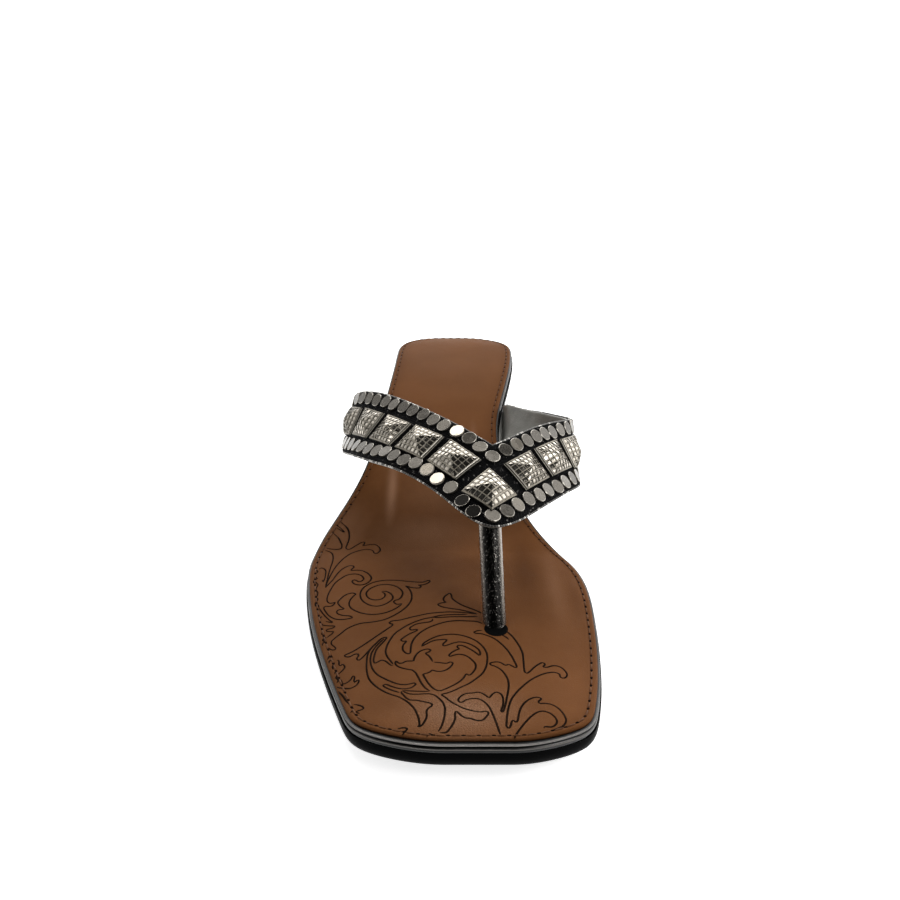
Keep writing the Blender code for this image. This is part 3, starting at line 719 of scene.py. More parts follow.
        [(506, 630.7), (512, 636), (516.7, 642), (520.5, 648.3), (522.7, 654), (523.5, 661), (524.2, 669),
         (524.7, 671.7), (526.7, 673.3), (529.7, 671.5), (534, 667.5), (539, 664), (542.5, 662.7),
         (545, 664.3), (543.2, 666.8), (546.7, 667.3), (553.3, 665.7), (560, 667), (564.7, 670.7), (567, 675),
         (565.3, 677.7), (562, 678), (560.3, 677), (559.3, 674.3), (554.7, 672.5), (546.7, 673),
         (538.7, 675.7), (530.7, 680), (522.7, 686.3), (516, 693), (511.3, 699.7), (508.7, 707), (507.3, 715),
         (506.7, 721.7), (506.7, 726.3), (508.7, 728.3), (510.7, 725.7), (512.3, 720.7), (514, 720.7),
         (516, 722.3), (517.7, 720.3), (518.7, 715), (520.7, 708.3), (524.7, 702.7), (530.7, 698.7),
         (537.3, 697.3), (541.3, 699), (538.7, 701.3), (539.3, 703.3), (545.3, 703.5), (552.7, 705),
         (559.3, 709.3), (564, 715), (566, 720.3), (564, 725), (558.7, 728), (552, 730.3)],
        [(514.3, 739), (516, 735), (520, 729), (526, 721.7), (532, 715.7), (538, 712), (544, 711.3),
         (550.7, 713.7), (555.3, 717.7), (557, 721.7), (555.3, 725), (551.3, 727), (546.7, 726.7), (544, 727),
         (544.3, 728.7)],
        [(396.7, 729.3), (400, 728.3), (404.7, 727.7), (407.3, 728.7), (404.7, 732), (402, 735.7)],
        [(426.7, 737.3), (428.7, 734), (434, 734.7)],
        [(500.3, 634.3), (504.7, 636.3), (508, 638.7), (508.7, 640)],
        [(313.6, 569.2), (315.8, 569.4), (318.1, 571.9), (315.8, 573.8), (314.8, 575.6), (316.5, 577.5),
         (317.6, 578.9), (315, 580), (313.6, 582.8), (315.5, 581.9), (317, 583.1), (318.2, 584.5),
         (317.2, 587), (316.2, 589.4), (318.1, 592.6), (317.2, 596.4), (316.2, 597.4), (318.2, 598.9),
         (317, 601.3), (315.4, 603.6), (316.2, 606.6), (318.2, 604.6), (319.3, 608)],
        [(318.8, 618), (322.5, 616.5), (320, 618.9), (320.2, 621.6), (321.6, 623.3)],
        [(321, 633.6), (323.3, 631.9), (321.9, 634.6), (324.5, 635), (323, 636.9), (326.3, 638),
         (323.9, 638.4), (323, 641), (326.2, 641.4), (323, 643.2), (322.4, 646)],
        [(330.2, 656.4), (332, 655.6), (330.9, 658), (333.2, 660), (329.6, 660.8), (329, 663.6)],
        [(333.3, 663.7), (335.1, 662.5), (332.6, 667), (333.2, 670)],
        [(334.6, 674.3), (335.8, 671.4), (337.6, 675), (336, 677.6), (338.4, 680.4), (336.4, 683.4)],
    ],
}


def sightOntoBed(pixels):
    # Sight line through each point of the frame, met with the foot bed's top by stepping to its height
    aim = np.asarray(pixels) - view["frame"] / 2
    ray = view["focal"] * viewAhead + aim[:, :1] * np.array([1.0, 0.0, 0.0]) - aim[:, 1:] * viewUp
    height = np.full(len(ray), scroll["startHeight"])
    for _ in range(scroll["passes"]):
        plan = (view["eye"] + ray * ((height - view["eye"][2]) / ray[:, 2])[:, None])[:, :2]
        height = bedTop(plan)
    return plan


def etchedScrolls():
    points, faces, used = [], [], 0
    for stroke in scroll["strokes"]:
        plan = sightOntoBed(strokeThrough(stroke, scroll["steps"]))
        plan = evenly(plan, max(scroll["fewest"], int(reachAlong(plan)[-1] / scroll["step"])))
        share = np.linspace(0, 1, len(plan))
        taper = np.clip(np.minimum(share, 1 - share) * len(plan) / scroll["taper"], 0, 1) ** 0.5
        aside = leftOf(unit(np.gradient(plan, axis=0))) * (scroll["halfWidth"] * taper)[:, None]
        # Lens across the line: two thin edges, a crown just over the leather and a keel inside it
        level = bedTop(plan)
        edge = level + scroll["edge"]
        crown, keel = level + scroll["proud"], level - scroll["keel"]
        crown[[0, -1]] = keel[[0, -1]] = edge[[0, -1]]
        ring = ((plan + aside, edge), (plan, crown), (plan - aside, edge), (plan, keel))
        points.append(np.stack([np.column_stack(pair) for pair in ring], axis=1).reshape(-1, 3))
        faces.append(gridFaces(len(plan), len(ring), wrap=True) + used)
        used += len(ring) * len(plan)
    look, tree, shader, where = newLook("etched line", Roughness=0.7, IOR=1.05)
    feed(tree, shader, Base_Color=addMottle(tree, where, *scroll["colours"]))
    makePiece("etched_scrolls", np.vstack(points), np.vstack(faces), look, smooth=180)


etchedScrolls()
print("scrolls ready")


# Edge binding and board under the foot bed

binding = {
    "base": 5.0, "shares": np.array([0.0, 0.35, 0.7]), "paintedSideShade": 0.88, "flare": -0.4, "metallic": 0.9,
    "bright": (0.27, 0.255, 0.24, 1), "dark": (0.006, 0.006, 0.006, 1),
    "wear": (90.0, 0.26, 0.42), "grain": (1800.0, 0.5, 0.00002, 0.5),
    # reach over the outline, height, share of painted shade (groove, underside, under the lip); beads stay
    # painted bright
    "profile": [
        (0.1, 0.0, 1), (0.55, 0.15, 1), (0.82, 0.45, 1), (0.97, 0.96, 1), (1.0, 1.22, 0.8), (0.97, 1.42, 0.5),
        (0.88, 1.6, 0.6), (0.7, 1.76, 1), (0.57, 1.9, 1), (0.6, 2.1, 1), (0.72, 2.27, 0.9),
        (0.84, 2.42, 0.05), (0.84, 2.58, 0), (0.68, 2.69, 0.5), (0.3, 2.74, 1), (-0.9, 2.7, 1),
    ],
}


def edgeBinding():
    points = soleRings(binding["profile"], binding["base"], binding["shares"], flare=binding["flare"])
    faces = gridFaces(*points.shape[:2], wrap=True)
    shade = ringColumn(binding["profile"], binding["shares"], 2)[:, None]
    # Painted shade: the sides darker than the toe, where less light falls on them
    values = {"shade": np.maximum(shade, binding["paintedSideShade"] * np.abs(soleNormal[:, 0]))}
    look, tree, shader, where = newLook("gunmetal binding", Metallic=binding["metallic"])
    shaded = blendColour(tree, attribute(tree, "shade"), binding["bright"], binding["dark"])
    feed(tree, shader, Base_Color=shaded)
    addWear(tree, shader, where, *binding["wear"])
    addGrain(tree, shader, where, *binding["grain"])
    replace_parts(makePiece("edge_binding", points, faces, look, values=values), "insole_board")


edgeBinding()

# Outsole: a black sheet whose underside carries fine ribs

outsole = {
    "shares": np.array([0.0, 0.25, 0.5, 0.75]), "flare": 0.8,
    # reach over the outline, height
    "profile": [
        (-2.4, 0.0), (-1.5, 0.14), (-0.9, 0.45), (-0.45, 0.95), (-0.1, 1.6), (0.15, 2.4), (0.28, 3.2),
        (0.3, 4.1), (0.2, 4.85), (-1.0, 4.95),
    ],
    "colour": (0.0015, 0.0015, 0.0016, 1), "ior": 1.06, "wear": (70.0, 0.3, 0.46),
    # ribs: pitch, depth in metres, strength; downward share of the face where they fade in
    "ribs": (0.0024, 0.0002, 0.8), "ribFade": (-0.9, -0.97),
}


def blackRubber():
    look, tree, shader, where = newLook("black rubber", Base_Color=outsole["colour"], IOR=outsole["ior"])
    addWear(tree, shader, where, *outsole["wear"])
    # Tread ribs across the underside only: a wave along the shoe, faded by the face's downward share
    pitch, depth, strength = outsole["ribs"]
    along = addNode(tree, "ShaderNodeSeparateXYZ", {0: where}).outputs[1]
    wave = calc(tree, "SINE", calc(tree, "MULTIPLY", along, 2 * np.pi / pitch))
    upward = addNode(tree, "ShaderNodeSeparateXYZ", {0: placeIn(tree, "Normal")}).outputs[2]
    ribs = calc(tree, "MULTIPLY", wave, span(tree, upward, *outsole["ribFade"], 0.0, 1.0))
    addBump(tree, shader, ribs, depth, strength)
    return look


def outsoleSheet():
    rubberLook = blackRubber()
    outsolePoints = soleRings(outsole["profile"], 0.0, outsole["shares"], flare=outsole["flare"])
    outsoleFaces = gridFaces(*outsolePoints.shape[:2], wrap=True)
    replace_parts(makePiece("outsole_rubber", outsolePoints, outsoleFaces, rubberLook), "outsole")


outsoleSheet()

# Heel block: covered, with a fine seam above its top piece

heel = {
    "square": 3.4, "points": 96, "gap": 0.3, "groove": 0.45, "seam": 0.126, "seamWidth": 0.005,
    "shares": np.concatenate([
        [0.0, 0.012, 0.04, 0.11, 0.120, 0.126, 0.132, 0.142], np.linspace(0.18, 1, 22),
    ]),
    "colour": (0.004, 0.004, 0.0045, 1), "ior": 1.2,
    "wear": (50.0, 0.28, 0.42), "grain": (1400.0, 0.4, 0.00003, 0.4),
    # share of the height, half width, half length, centre y
    "rows": np.array([
        (0, 18.5, 19, 216), (0.04, 19.3, 19.8, 216), (0.4, 20, 20.5, 216.5), (0.75, 22, 23.5, 217),
        (1, 24.5, 26, 217),
    ]),
}


def heelBlock():
    # Rounded squares |x|^n + |y|^n = 1 stacked to the sole's lift, drawn in at the seam
    share, rows = heel["shares"], heel["rows"]
    wide, long, centre = (np.interp(share, rows[:, 0], rows[:, k])[:, None] for k in (1, 2, 3))
    dent = heel["groove"] * np.exp(-((share - heel["seam"]) / heel["seamWidth"]) ** 2)[:, None]
    turn = roundTurn(heel["points"])
    power = 2 / heel["square"]
    squareX, squareY = (np.sign(wave) * np.abs(wave) ** power for wave in (np.cos(turn), np.sin(turn)))
    x = heelPlan[0] + (wide - dent) * squareX
    y = centre + (long - dent) * squareY
    z = share[:, None] * (liftAt(y) - heel["gap"])
    points = np.dstack([x, y, z])
    faces = tubeFaces(*points.shape[:2])
    look, tree, shader, where = newLook("heel cover", Base_Color=heel["colour"], IOR=heel["ior"])
    addWear(tree, shader, where, *heel["wear"])
    addGrain(tree, shader, where, *heel["grain"])
    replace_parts(makePiece("heel_block", points, faces, look), "heel")


heelBlock()
print("sole ready")


# Strap: a woven band on a leather lining, from under one edge of the board over the foot to the other

strap = {
    "half": 1.0, "halfWidth": 12.5, "rows": 460, "columns": 30, "soft": 0.03, "softSteps": 6,
    "liningGap": 0.02, "probeAlong": 0.5, "probeAcross": 0.02,
    "tuckRear": (177.0, 181.0), "tuckFront": 153.0, "tuckRadius": 2.2,
    "tuckAngles": (80, 45, 0), "tuckFlats": (3, 6, 9), "tuckLevel": 4.2, "tuckReach": 1.5,
    "black": (0.003, 0.003, 0.0032, 1), "glint": (0.16, 0.15, 0.14, 1),
    "pitch": 0.8, "flecks": 0.035, "weaveDepth": 0.00018,
    # rear edge x y z, front edge x y z, from the middle of the V
    "centre": (13.9, 97.4, 49.6, 12, 66, 36.4),
    "outer": [
        (8.5, 101.5, 51.6, -2.2, 80, 39.6), (3.2, 106.2, 53.2, -14.2, 93.4, 41.6),
        (-8.3, 119.8, 54.2, -26.5, 107, 40.2), (-19.3, 133, 54.3, -34.8, 122, 36.3),
        (-30.5, 147.5, 52, -40.2, 138, 31.2), (-37, 161, 46, -41.2, 147.5, 28),
        (-35.8, 171.5, 38.5, -39, 152, 25.7),
    ],
    "inner": [
        (18.9, 101.2, 50.3, 27, 80, 34.6), (23.6, 106.2, 50.6, 37.6, 95, 33.4),
        (35.5, 120.2, 49.3, 45.2, 109.8, 30.2), (42.7, 130.3, 46.8, 45.6, 118.5, 27.2),
        (44.3, 138.5, 44.7, 45.9, 125.5, 25.4), (41.6, 146.5, 42.8, 44, 132.5, 24.6),
        (35.5, 158, 40.4, 38, 142.5, 24.4), (28.5, 168.5, 38.4, 30.5, 149, 24.6),
        (23.4, 178.2, 36, 24.8, 152.5, 24.2),
    ],
}

lining = {
    "metallic": 0.55, "colours": (70.0, (0.15, 0.145, 0.13, 1), (0.27, 0.265, 0.24, 1)),
    "wear": (60.0, 0.34, 0.5), "grain": (1100.0, 1.6, 0.00006, 0.7),
}


def tuckRows(column):
    # Round the board's edge on a small arc, then flat inwards between board and outsole
    side = -1 if column == 0 else 1
    y = np.array([strap["tuckRear"][column], strap["tuckFront"]])
    edge = edgeX(y)[:, column]
    flat = liftAt(y) + strap["tuckLevel"] - strap["half"]
    radius, inwards = strap["tuckRadius"], np.array(strap["tuckFlats"])[:, None]
    start = strap["tuckReach"] + strap["half"] - radius
    turn = np.radians(strap["tuckAngles"])[:, None]
    out = np.concatenate([start + radius * np.sin(turn), start - inwards])
    up = np.concatenate([radius * (1 - np.cos(turn)), np.zeros(inwards.shape)])
    rows = np.stack(np.broadcast_arrays(edge + side * out, y, flat + up), axis=-1)
    return rows.reshape(len(out), 6)


strapOuter = np.vstack([strap["centre"], strap["outer"], tuckRows(0)])
strapInner = np.vstack([strap["centre"], strap["inner"], tuckRows(1)])
armOuter, armInner = (reachAlong((rows[:, :3] + rows[:, 3:]) / 2) for rows in (strapOuter, strapInner))
strapKnots = np.concatenate([-armOuter[:0:-1], armInner])
strapFront = np.vstack([strapOuter[:0:-1, 3:], strapInner[:, 3:]])
strapEnds = (-armOuter[len(strap["outer"])], armInner[len(strap["inner"])])


def strapPoints(t, across):
    # Straight lines across, from the front edge at -1 to the rear edge at 1; t is the length from the V
    rear = np.where(
        (t < 0)[..., None],
        curveThrough(armOuter, strapOuter[:, :3], -np.minimum(t, 0)),
        curveThrough(armInner, strapInner[:, :3], np.maximum(t, 0)),
    )
    ahead = curveThrough(strapKnots, strapFront, t)
    return ahead + (rear - ahead) * (across[..., None] + 1) / 2


def strapFrame(t, across):
    t, across = np.broadcast_arrays(np.asarray(t, float), np.asarray(across, float))
    stepT, stepA = strap["probeAlong"], strap["probeAcross"]
    along = unit(strapPoints(t + stepT, across) - strapPoints(t - stepT, across))
    over = strapPoints(t, across + stepA) - strapPoints(t, across - stepA)
    out = unit(np.cross(along, over))
    return strapPoints(t, across), along, np.cross(out, along), out


def strapLayer(low, high):
    # Closed section across the strap: over the top, round the rear edge, back underneath, round the front
    soft = strap["soft"]
    across = np.linspace(-1 + soft, 1 - soft, strap["columns"])
    turn = np.linspace(np.pi / 2, -np.pi / 2, strap["softSteps"])
    rear = 1 - soft + soft * np.cos(turn)
    section = np.concatenate([across, rear, across[::-1], -rear])
    middle, half, flat = (low + high) / 2, (high - low) / 2, np.ones(len(across))
    bow = half * np.sin(turn)
    rise = np.concatenate([high * flat, middle + bow, low * flat, middle - bow])
    t = np.linspace(strapKnots[0], strapKnots[-1], strap["rows"])
    place, along, over, out = strapFrame(t[:, None], section[None])
    uv = np.stack(np.broadcast_arrays(t[:, None], section * strap["halfWidth"]), axis=-1)
    return place + rise[None, :, None] * out, tubeFaces(len(t), len(section)), uv


def strapTextile():
    points, faces, uv = strapLayer(0.0, strap["half"])
    look, tree, shader, _ = newLook("black woven textile", Roughness=0.7, IOR=1.1)
    plan = placeIn(tree, "UV")
    height, glint = useGroup(tree, weaveGroup, Vector=plan, Pitch=strap["pitch"], Flecks=strap["flecks"])
    feed(tree, shader, Base_Color=blendColour(tree, glint, strap["black"], strap["glint"]), Metallic=glint)
    addBump(tree, shader, height, strap["weaveDepth"], 1.0)
    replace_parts(makePiece("strap_textile", points, faces, look, uv=uv), "strap")


def strapLining():
    points, faces, _ = strapLayer(-strap["half"], -strap["liningGap"])
    look, tree, shader, where = newLook("silver lining", Metallic=lining["metallic"])
    feed(tree, shader, Base_Color=addMottle(tree, where, *lining["colours"]))
    addWear(tree, shader, where, *lining["wear"])
    addGrain(tree, shader, where, *lining["grain"])
    makePiece("strap_lining", points, faces, look)


strapTextile()
strapLining()
print("strap ready")


# Beaded piping along both edges of the strap, silver towards the bead crests, with painted glints on some
# beads

piping = {
    "radius": 0.38, "waist": 0.35, "bead": 0.9, "round": 0.7, "steps": 6, "sides": 8, "across": 1.01,
    "rise": 0.5, "tail": 2.5, "samples": 900, "bright": 0.25, "dim": 0.2, "metallic": 0.9, "roughness": 0.34,
    "black": (0.003, 0.003, 0.003, 1), "silver": (0.55, 0.53, 0.49, 1),
}


def edgePiping():
    # Radius along the edge: a power of |cos| between waist and full, one hump for each bead
    points, faces, crestsAndGlints, used = [], [], [], 0
    steps, sides = piping["steps"], piping["sides"]
    t = np.linspace(strapEnds[0] - piping["tail"], strapEnds[1] + piping["tail"], piping["samples"])
    for side in (-1, 1):
        place, along, over, out = strapFrame(t, side * piping["across"])
        path = place + piping["rise"] * out
        reach, pathOut = reachAlong(path), np.hstack([path, out])
        count = int(reach[-1] / piping["bead"]) * steps + 1
        at = np.interp(np.linspace(0, reach[-1], count), reach, reachAlong(pathOut))
        carried = pathAt(pathOut, at)
        swell = np.abs(np.cos(np.pi * np.arange(count) / steps)) ** piping["round"]
        radius = piping["radius"] * (1 - piping["waist"] * (1 - swell))
        points.append(ringsAlong(carried[:, :3], unit(carried[:, 3:]), radius, sides).reshape(-1, 3))
        faces += [[corner + used for corner in face] for face in tubeFaces(count, sides)]
        # Colour share of each bead: silver towards its crest, full on a random share of beads as painted
        # glints, dimmed on the rest
        number = np.round(np.arange(count) / steps).astype(int)
        bright = rng.random(number[-1] + 1) < piping["bright"]
        crestsAndGlints.append(np.repeat(swell * np.where(bright, 1.0, piping["dim"])[number], sides))
        used += count * sides
    metallic, roughness = piping["metallic"], piping["roughness"]
    look, tree, shader, _ = newLook("beaded piping", Metallic=metallic, Roughness=roughness)
    colour = blendColour(tree, attribute(tree, "bead"), piping["black"], piping["silver"])
    feed(tree, shader, Base_Color=colour)
    values = {"bead": np.concatenate(crestsAndGlints)}
    makePiece("strap_piping", np.vstack(points), faces, look, smooth=80, values=values)


edgePiping()
print("piping ready")


# Flat disc studs in a row along each edge of the strap

disc = {
    "radius": 2.5, "pitch": 5.75, "sides": 32, "tilt": 2.5, "margin": 4.0, "out": 1.6,
    "samples": 400, "settle": 8.0,
    # search: passes, step along and across, most steps at a time
    "passes": 12, "stepT": 0.2, "stepA": 0.02, "mostT": 10, "mostA": 5,
    "toneMetal": (0.0, 0.07, 1.0, 0.6),  # range of the tone, metallic over it
    "toneSpread": (0.8, 1.2), "wear": (220.0, 0.18, 0.36),
    "black": (0.0, 0.0, 0.0, 1), "pale": (1.0, 0.89, 0.72, 1), "rim": (0.42, 0.39, 0.34, 1),
    # seen: frame column and row of each disc in view; reflection tones: painted reflection on the outer and
    # the inner arm; odd: discs whose painted reflection differs
    "rows": [
        {
            "across": 0.79, "window": (-88.0, 56.0), "reflectionTones": (0.095, 0.08),
            "odd": {8: 0.5, 11: 0.055, 12: 0.055, 13: 0.17},
            "seen": [(376.4, 399.6), (385.4, 401.1), (393.6, 403.9), (403.2, 406.4), (412.5, 410),
                     (423.2, 413.9), (433.2, 419.3), (443.5, 424.8), (456.8, 430.4), (469.2, 437.5),
                     (480, 446.3), (492.8, 455.8), (505.8, 449.2), (517.2, 444), (527.9, 440),
                     (536.8, 435.7), (545, 433.2), (552.9, 431.8)],
        },
        {
            "across": -0.72, "window": (-78.0, 47.0), "reflectionTones": (0.1, 0.09),
            "odd": {5: 0.42, 6: 0.5, 8: 0.004, 9: 0.004, 12: 0.13},
            "seen": [(376.1, 450), (385, 450.7), (393.6, 454.6), (403.6, 459.3), (415.4, 462.1),
                     (426.8, 468.9), (437, 477.9), (450.4, 486.7), (462, 500), (473.3, 510.8), (492.8, 515),
                     (507.5, 510.4), (518.4, 504), (529.3, 498.2), (540, 494.3), (548.6, 489.3),
                     (558.2, 486.1)],
        },
    ],
    # share of the radius, height over the strap's face, share of the rim's painted highlight
    "profile": [
        (0.0, -0.3, 0), (1.0, -0.3, 0), (1.0, 0.44, 0), (1.0, 0.5, 1), (0.93, 0.62, 1), (0.905, 0.62, 0),
        (0.0, 0.62, 0),
    ],
}


def inFrame(t, across):
    # Column and row of a place just over the strap: focal length times offset over depth
    place, along, over, out = strapFrame(t, across)
    away = place + disc["out"] * out - view["eye"]
    offset = np.stack([away[..., 0], -(away @ viewUp)], axis=-1)
    return view["frame"] / 2 + view["focal"] * offset / (away @ viewAhead)[..., None]


def crossOf(first, second):
    return first[:, 0] * second[:, 1] - first[:, 1] * second[:, 0]


def discPlaces(row):
    # Seen discs move along and across the strap until they stand in their charted places
    wanted, stepT, stepA = np.array(row["seen"], float), disc["stepT"], disc["stepA"]
    line = np.linspace(*row["window"], disc["samples"])
    t = np.interp(wanted[:, 0], inFrame(line, row["across"])[:, 0], line)
    across = np.full(len(t), row["across"])
    for _ in range(disc["passes"]):
        here = inFrame(t, across)
        byT, byA, gap = inFrame(t + stepT, across) - here, inFrame(t, across + stepA) - here, wanted - here
        scale = crossOf(byT, byA)
        t = t + stepT * np.clip(crossOf(gap, byA) / scale, -disc["mostT"], disc["mostT"])
        across = across + stepA * np.clip(crossOf(byT, gap) / scale, -disc["mostA"], disc["mostA"])
    reflectionTones = np.where(t < 0, *row["reflectionTones"])
    reflectionTones[list(row["odd"])] = list(row["odd"].values())
    # The rest follow on from both ends in equal steps of length
    for end, stop in ((0, strapEnds[0] + disc["margin"]), (-1, strapEnds[1] - disc["margin"])):
        line = np.linspace(t[end], stop, disc["samples"])
        settled = np.exp(-np.abs(line - t[end]) / disc["settle"])
        level = row["across"] + (across[end] - row["across"]) * settled
        reach = reachAlong(strapPoints(line, level))
        more = np.arange(disc["pitch"], reach[-1], disc["pitch"])
        paintedReflection = np.full(len(more), row["reflectionTones"][end])
        added = np.interp(more, reach, line), np.interp(more, reach, level), paintedReflection
        pairs = zip(added, (t, across, reflectionTones))
        t, across, reflectionTones = (np.concatenate([old, new] if end else [new[::-1], old]) for new, old in pairs)
    return t, across, reflectionTones


def discStuds():
    t, across, reflectionTones = (np.concatenate(column) for column in zip(*map(discPlaces, disc["rows"])))
    count, sides = len(t), disc["sides"]
    place, along, over, out = strapFrame(t, across)
    tilt = np.radians(rng.normal(0, disc["tilt"], (count, 2)))
    normal = unit(out + tilt[:, :1] * along + tilt[:, 1:] * over)
    first = unit(along - (along * normal).sum(axis=1)[:, None] * normal)
    second = np.cross(normal, first)
    # Rings of every disc at once: share of the radius round the normal, then the height along it
    turn = roundTurn(sides)[:, None]
    circle = np.cos(turn) * first[:, None] + np.sin(turn) * second[:, None]
    share, height, rim = np.array(disc["profile"]).T
    points = (place + strap["half"] * out)[:, None, None] + height[:, None, None] * normal[:, None, None]
    points = points + disc["radius"] * share[:, None, None] * circle[:, None]
    size = len(share) * sides
    faces = copiesOf(gridFaces(len(share), sides, wrap=True), size, count)
    # Painted reflection: each disc goes from black to pale and from plain to metallic by how much light it
    # catches, with a random spread; the rim colour paints a highlight on the bevel
    shades = np.repeat(reflectionTones * rng.uniform(*disc["toneSpread"], count), size)
    values = {"paintedReflection": shades, "rim": np.tile(np.repeat(rim, sides), count)}
    look, tree, shader, where = newLook("pewter disc")
    paintedReflection = attribute(tree, "paintedReflection")
    colour = blendColour(tree, paintedReflection, disc["black"], disc["pale"])
    colour = blendColour(tree, attribute(tree, "rim"), colour, disc["rim"])
    feed(tree, shader, Base_Color=colour, Metallic=span(tree, paintedReflection, *disc["toneMetal"]))
    addWear(tree, shader, where, *disc["wear"])
    makePiece("disc_studs", points, faces, look, smooth=20, values=values)


discStuds()
print("discs ready")


# Pyramid studs: a stepped square foot under a chequered pyramid

pyramid = {
    "seat": 0.15, "apex": 3.5, "shoulder": 1.1, "wire": 0.045, "wall": 0.105, "dip": 0.24, "pillow": 0.05,
    "tilt": 0.1, "drapes": 20, "drapeStep": 0.6, "shadow": 0.85, "shadowEnds": (0.13, 0.27),
    "places": (0.0, 0.04, 0.075, 0.12, 0.27, 0.5, 0.73, 0.88, 0.925, 0.96),
    "side": {"halves": (7.25, 5.6), "cells": (7, 6)}, "first": 15.9, "pitch": 16.9, "eachSide": 5,
    "middle": {"halves": (6.3, 6.3), "cells": (6, 6)}, "centre": (-0.5, -0.19), "turn": np.radians(-27.0),
    # foot steps up to the field: share of the half side, height over the strap's face,
    # share of painted shade, below 0 of painted highlight
    "plain": [
        (1.0, -0.6, 1), (1.0, 0.5, 1), (0.99, 0.8, 0.4), (0.975, 0.9, 0), (0.956, 0.9, 0), (0.946, 0.78, 0.8),
    ],
    "bars": [
        (1.0, -0.6, 1), (1.0, 0.35, 1), (0.99, 0.5, 0.2), (0.965, 0.55, -0.8), (0.955, 0.4, 1),
        (0.938, 0.4, 1), (0.93, 0.85, 0.3), (0.915, 0.96, -1), (0.892, 0.96, -1), (0.882, 0.8, 0.9),
    ],
    "field": {"plain": 0.94, "bars": 0.874},
}

pewter = {
    "colours": (320.0, (0.24, 0.218, 0.185, 1), (0.62, 0.57, 0.49, 1)), "wear": (260.0, 0.12, 0.24),
    # barHighlight paints the bar crests bright; paintedRecessShade is the colour of the painted shade in the
    # cell corners and on the foot walls
    "wire": (0.33, 0.295, 0.235, 1), "barHighlight": (0.72, 0.68, 0.60, 1), "paintedRecessShade": (0.014, 0.013, 0.012, 1),
    "wireMetal": 0.6, "wireRough": 0.2, "hammer": 1500.0, "hammerDepth": 0.0001, "hammerStrength": 0.5,
}


def studMetal():
    look, tree, shader, where = newLook("pewter metal")
    wire = attribute(tree, "wire")
    colour = blendColour(tree, wire, addMottle(tree, where, *pewter["colours"]), pewter["wire"])
    # Painted highlight on the bar crests, painted shade in the cell corners and on the foot
    colour = blendColour(tree, attribute(tree, "barHighlight"), colour, pewter["barHighlight"])
    colour = blendColour(tree, attribute(tree, "paintedRecessShade"), colour, pewter["paintedRecessShade"])
    scale, low, high = pewter["wear"]
    worn = useGroup(tree, wearGroup, Vector=where, Scale=scale, Low=low, High=high)[0]
    rough = calc(tree, "ADD", worn, calc(tree, "MULTIPLY", wire, pewter["wireRough"]))
    metal = span(tree, wire, 0.0, 1.0, 1.0, pewter["wireMetal"])
    feed(tree, shader, Base_Color=colour, Metallic=metal, Roughness=rough)
    hammer = addNode(tree, "ShaderNodeTexNoise", {"Vector": where, "Scale": pewter["hammer"], "Detail": 2.0})
    addBump(tree, shader, hammer.outputs[0], pewter["hammerDepth"], pewter["hammerStrength"])
    return look


def pyramidAxis(cells, low, high):
    # Sample places along one side: a stepped foot at each end, some per cell between, and the roof's height
    first, last = -pyramid["field"][low], pyramid["field"][high]
    share = np.append((np.arange(cells)[:, None] + pyramid["places"]).ravel() / cells, 1.0)
    lowFoot, highFoot = np.array(pyramid[low]) * (-1, 1, 1), np.array(pyramid[high])[::-1]
    roof = pyramid["apex"] - (pyramid["apex"] - pyramid["shoulder"]) * np.abs(2 * share - 1)
    field = np.column_stack([first + (last - first) * share, roof, np.zeros(len(share))])
    axis, height, dark = np.vstack([lowFoot, field, highFoot]).T
    place = np.clip((axis - first) / (last - first) * cells, 0, cells - 1e-6)
    return axis, height, dark, place.astype(int), place % 1, (axis >= first) & (axis <= last)


def drape(t, across, plan, place, along, over, out):
    # Height of the strap over each point of a plate's plan, found in small steps along and across the strap
    at, level = t + plan[..., 0], across + plan[..., 1] / strap["halfWidth"]
    for _ in range(pyramid["drapes"]):
        away = strapPoints(at, level) - place
        at = at - pyramid["drapeStep"] * (away @ along - plan[..., 0])
        level = level - pyramid["drapeStep"] * (away @ over - plan[..., 1]) / strap["halfWidth"]
    return (strapPoints(at, level) - place) @ out


def studFaces(rows, columns):
    index = np.arange(rows * columns).reshape(rows, columns)
    # Underside: straight strips across, so that it bends with the strap
    strips = np.stack([index[1:-2, 0], index[1:-2, -1], index[2:-1, -1], index[2:-1, 0]], axis=1)
    ends = [[*index[0], index[1, -1], index[1, 0]], [*index[-1], index[-2, -1], index[-2, 0]]]
    return gridFaces(rows, columns).tolist() + strips.tolist() + ends


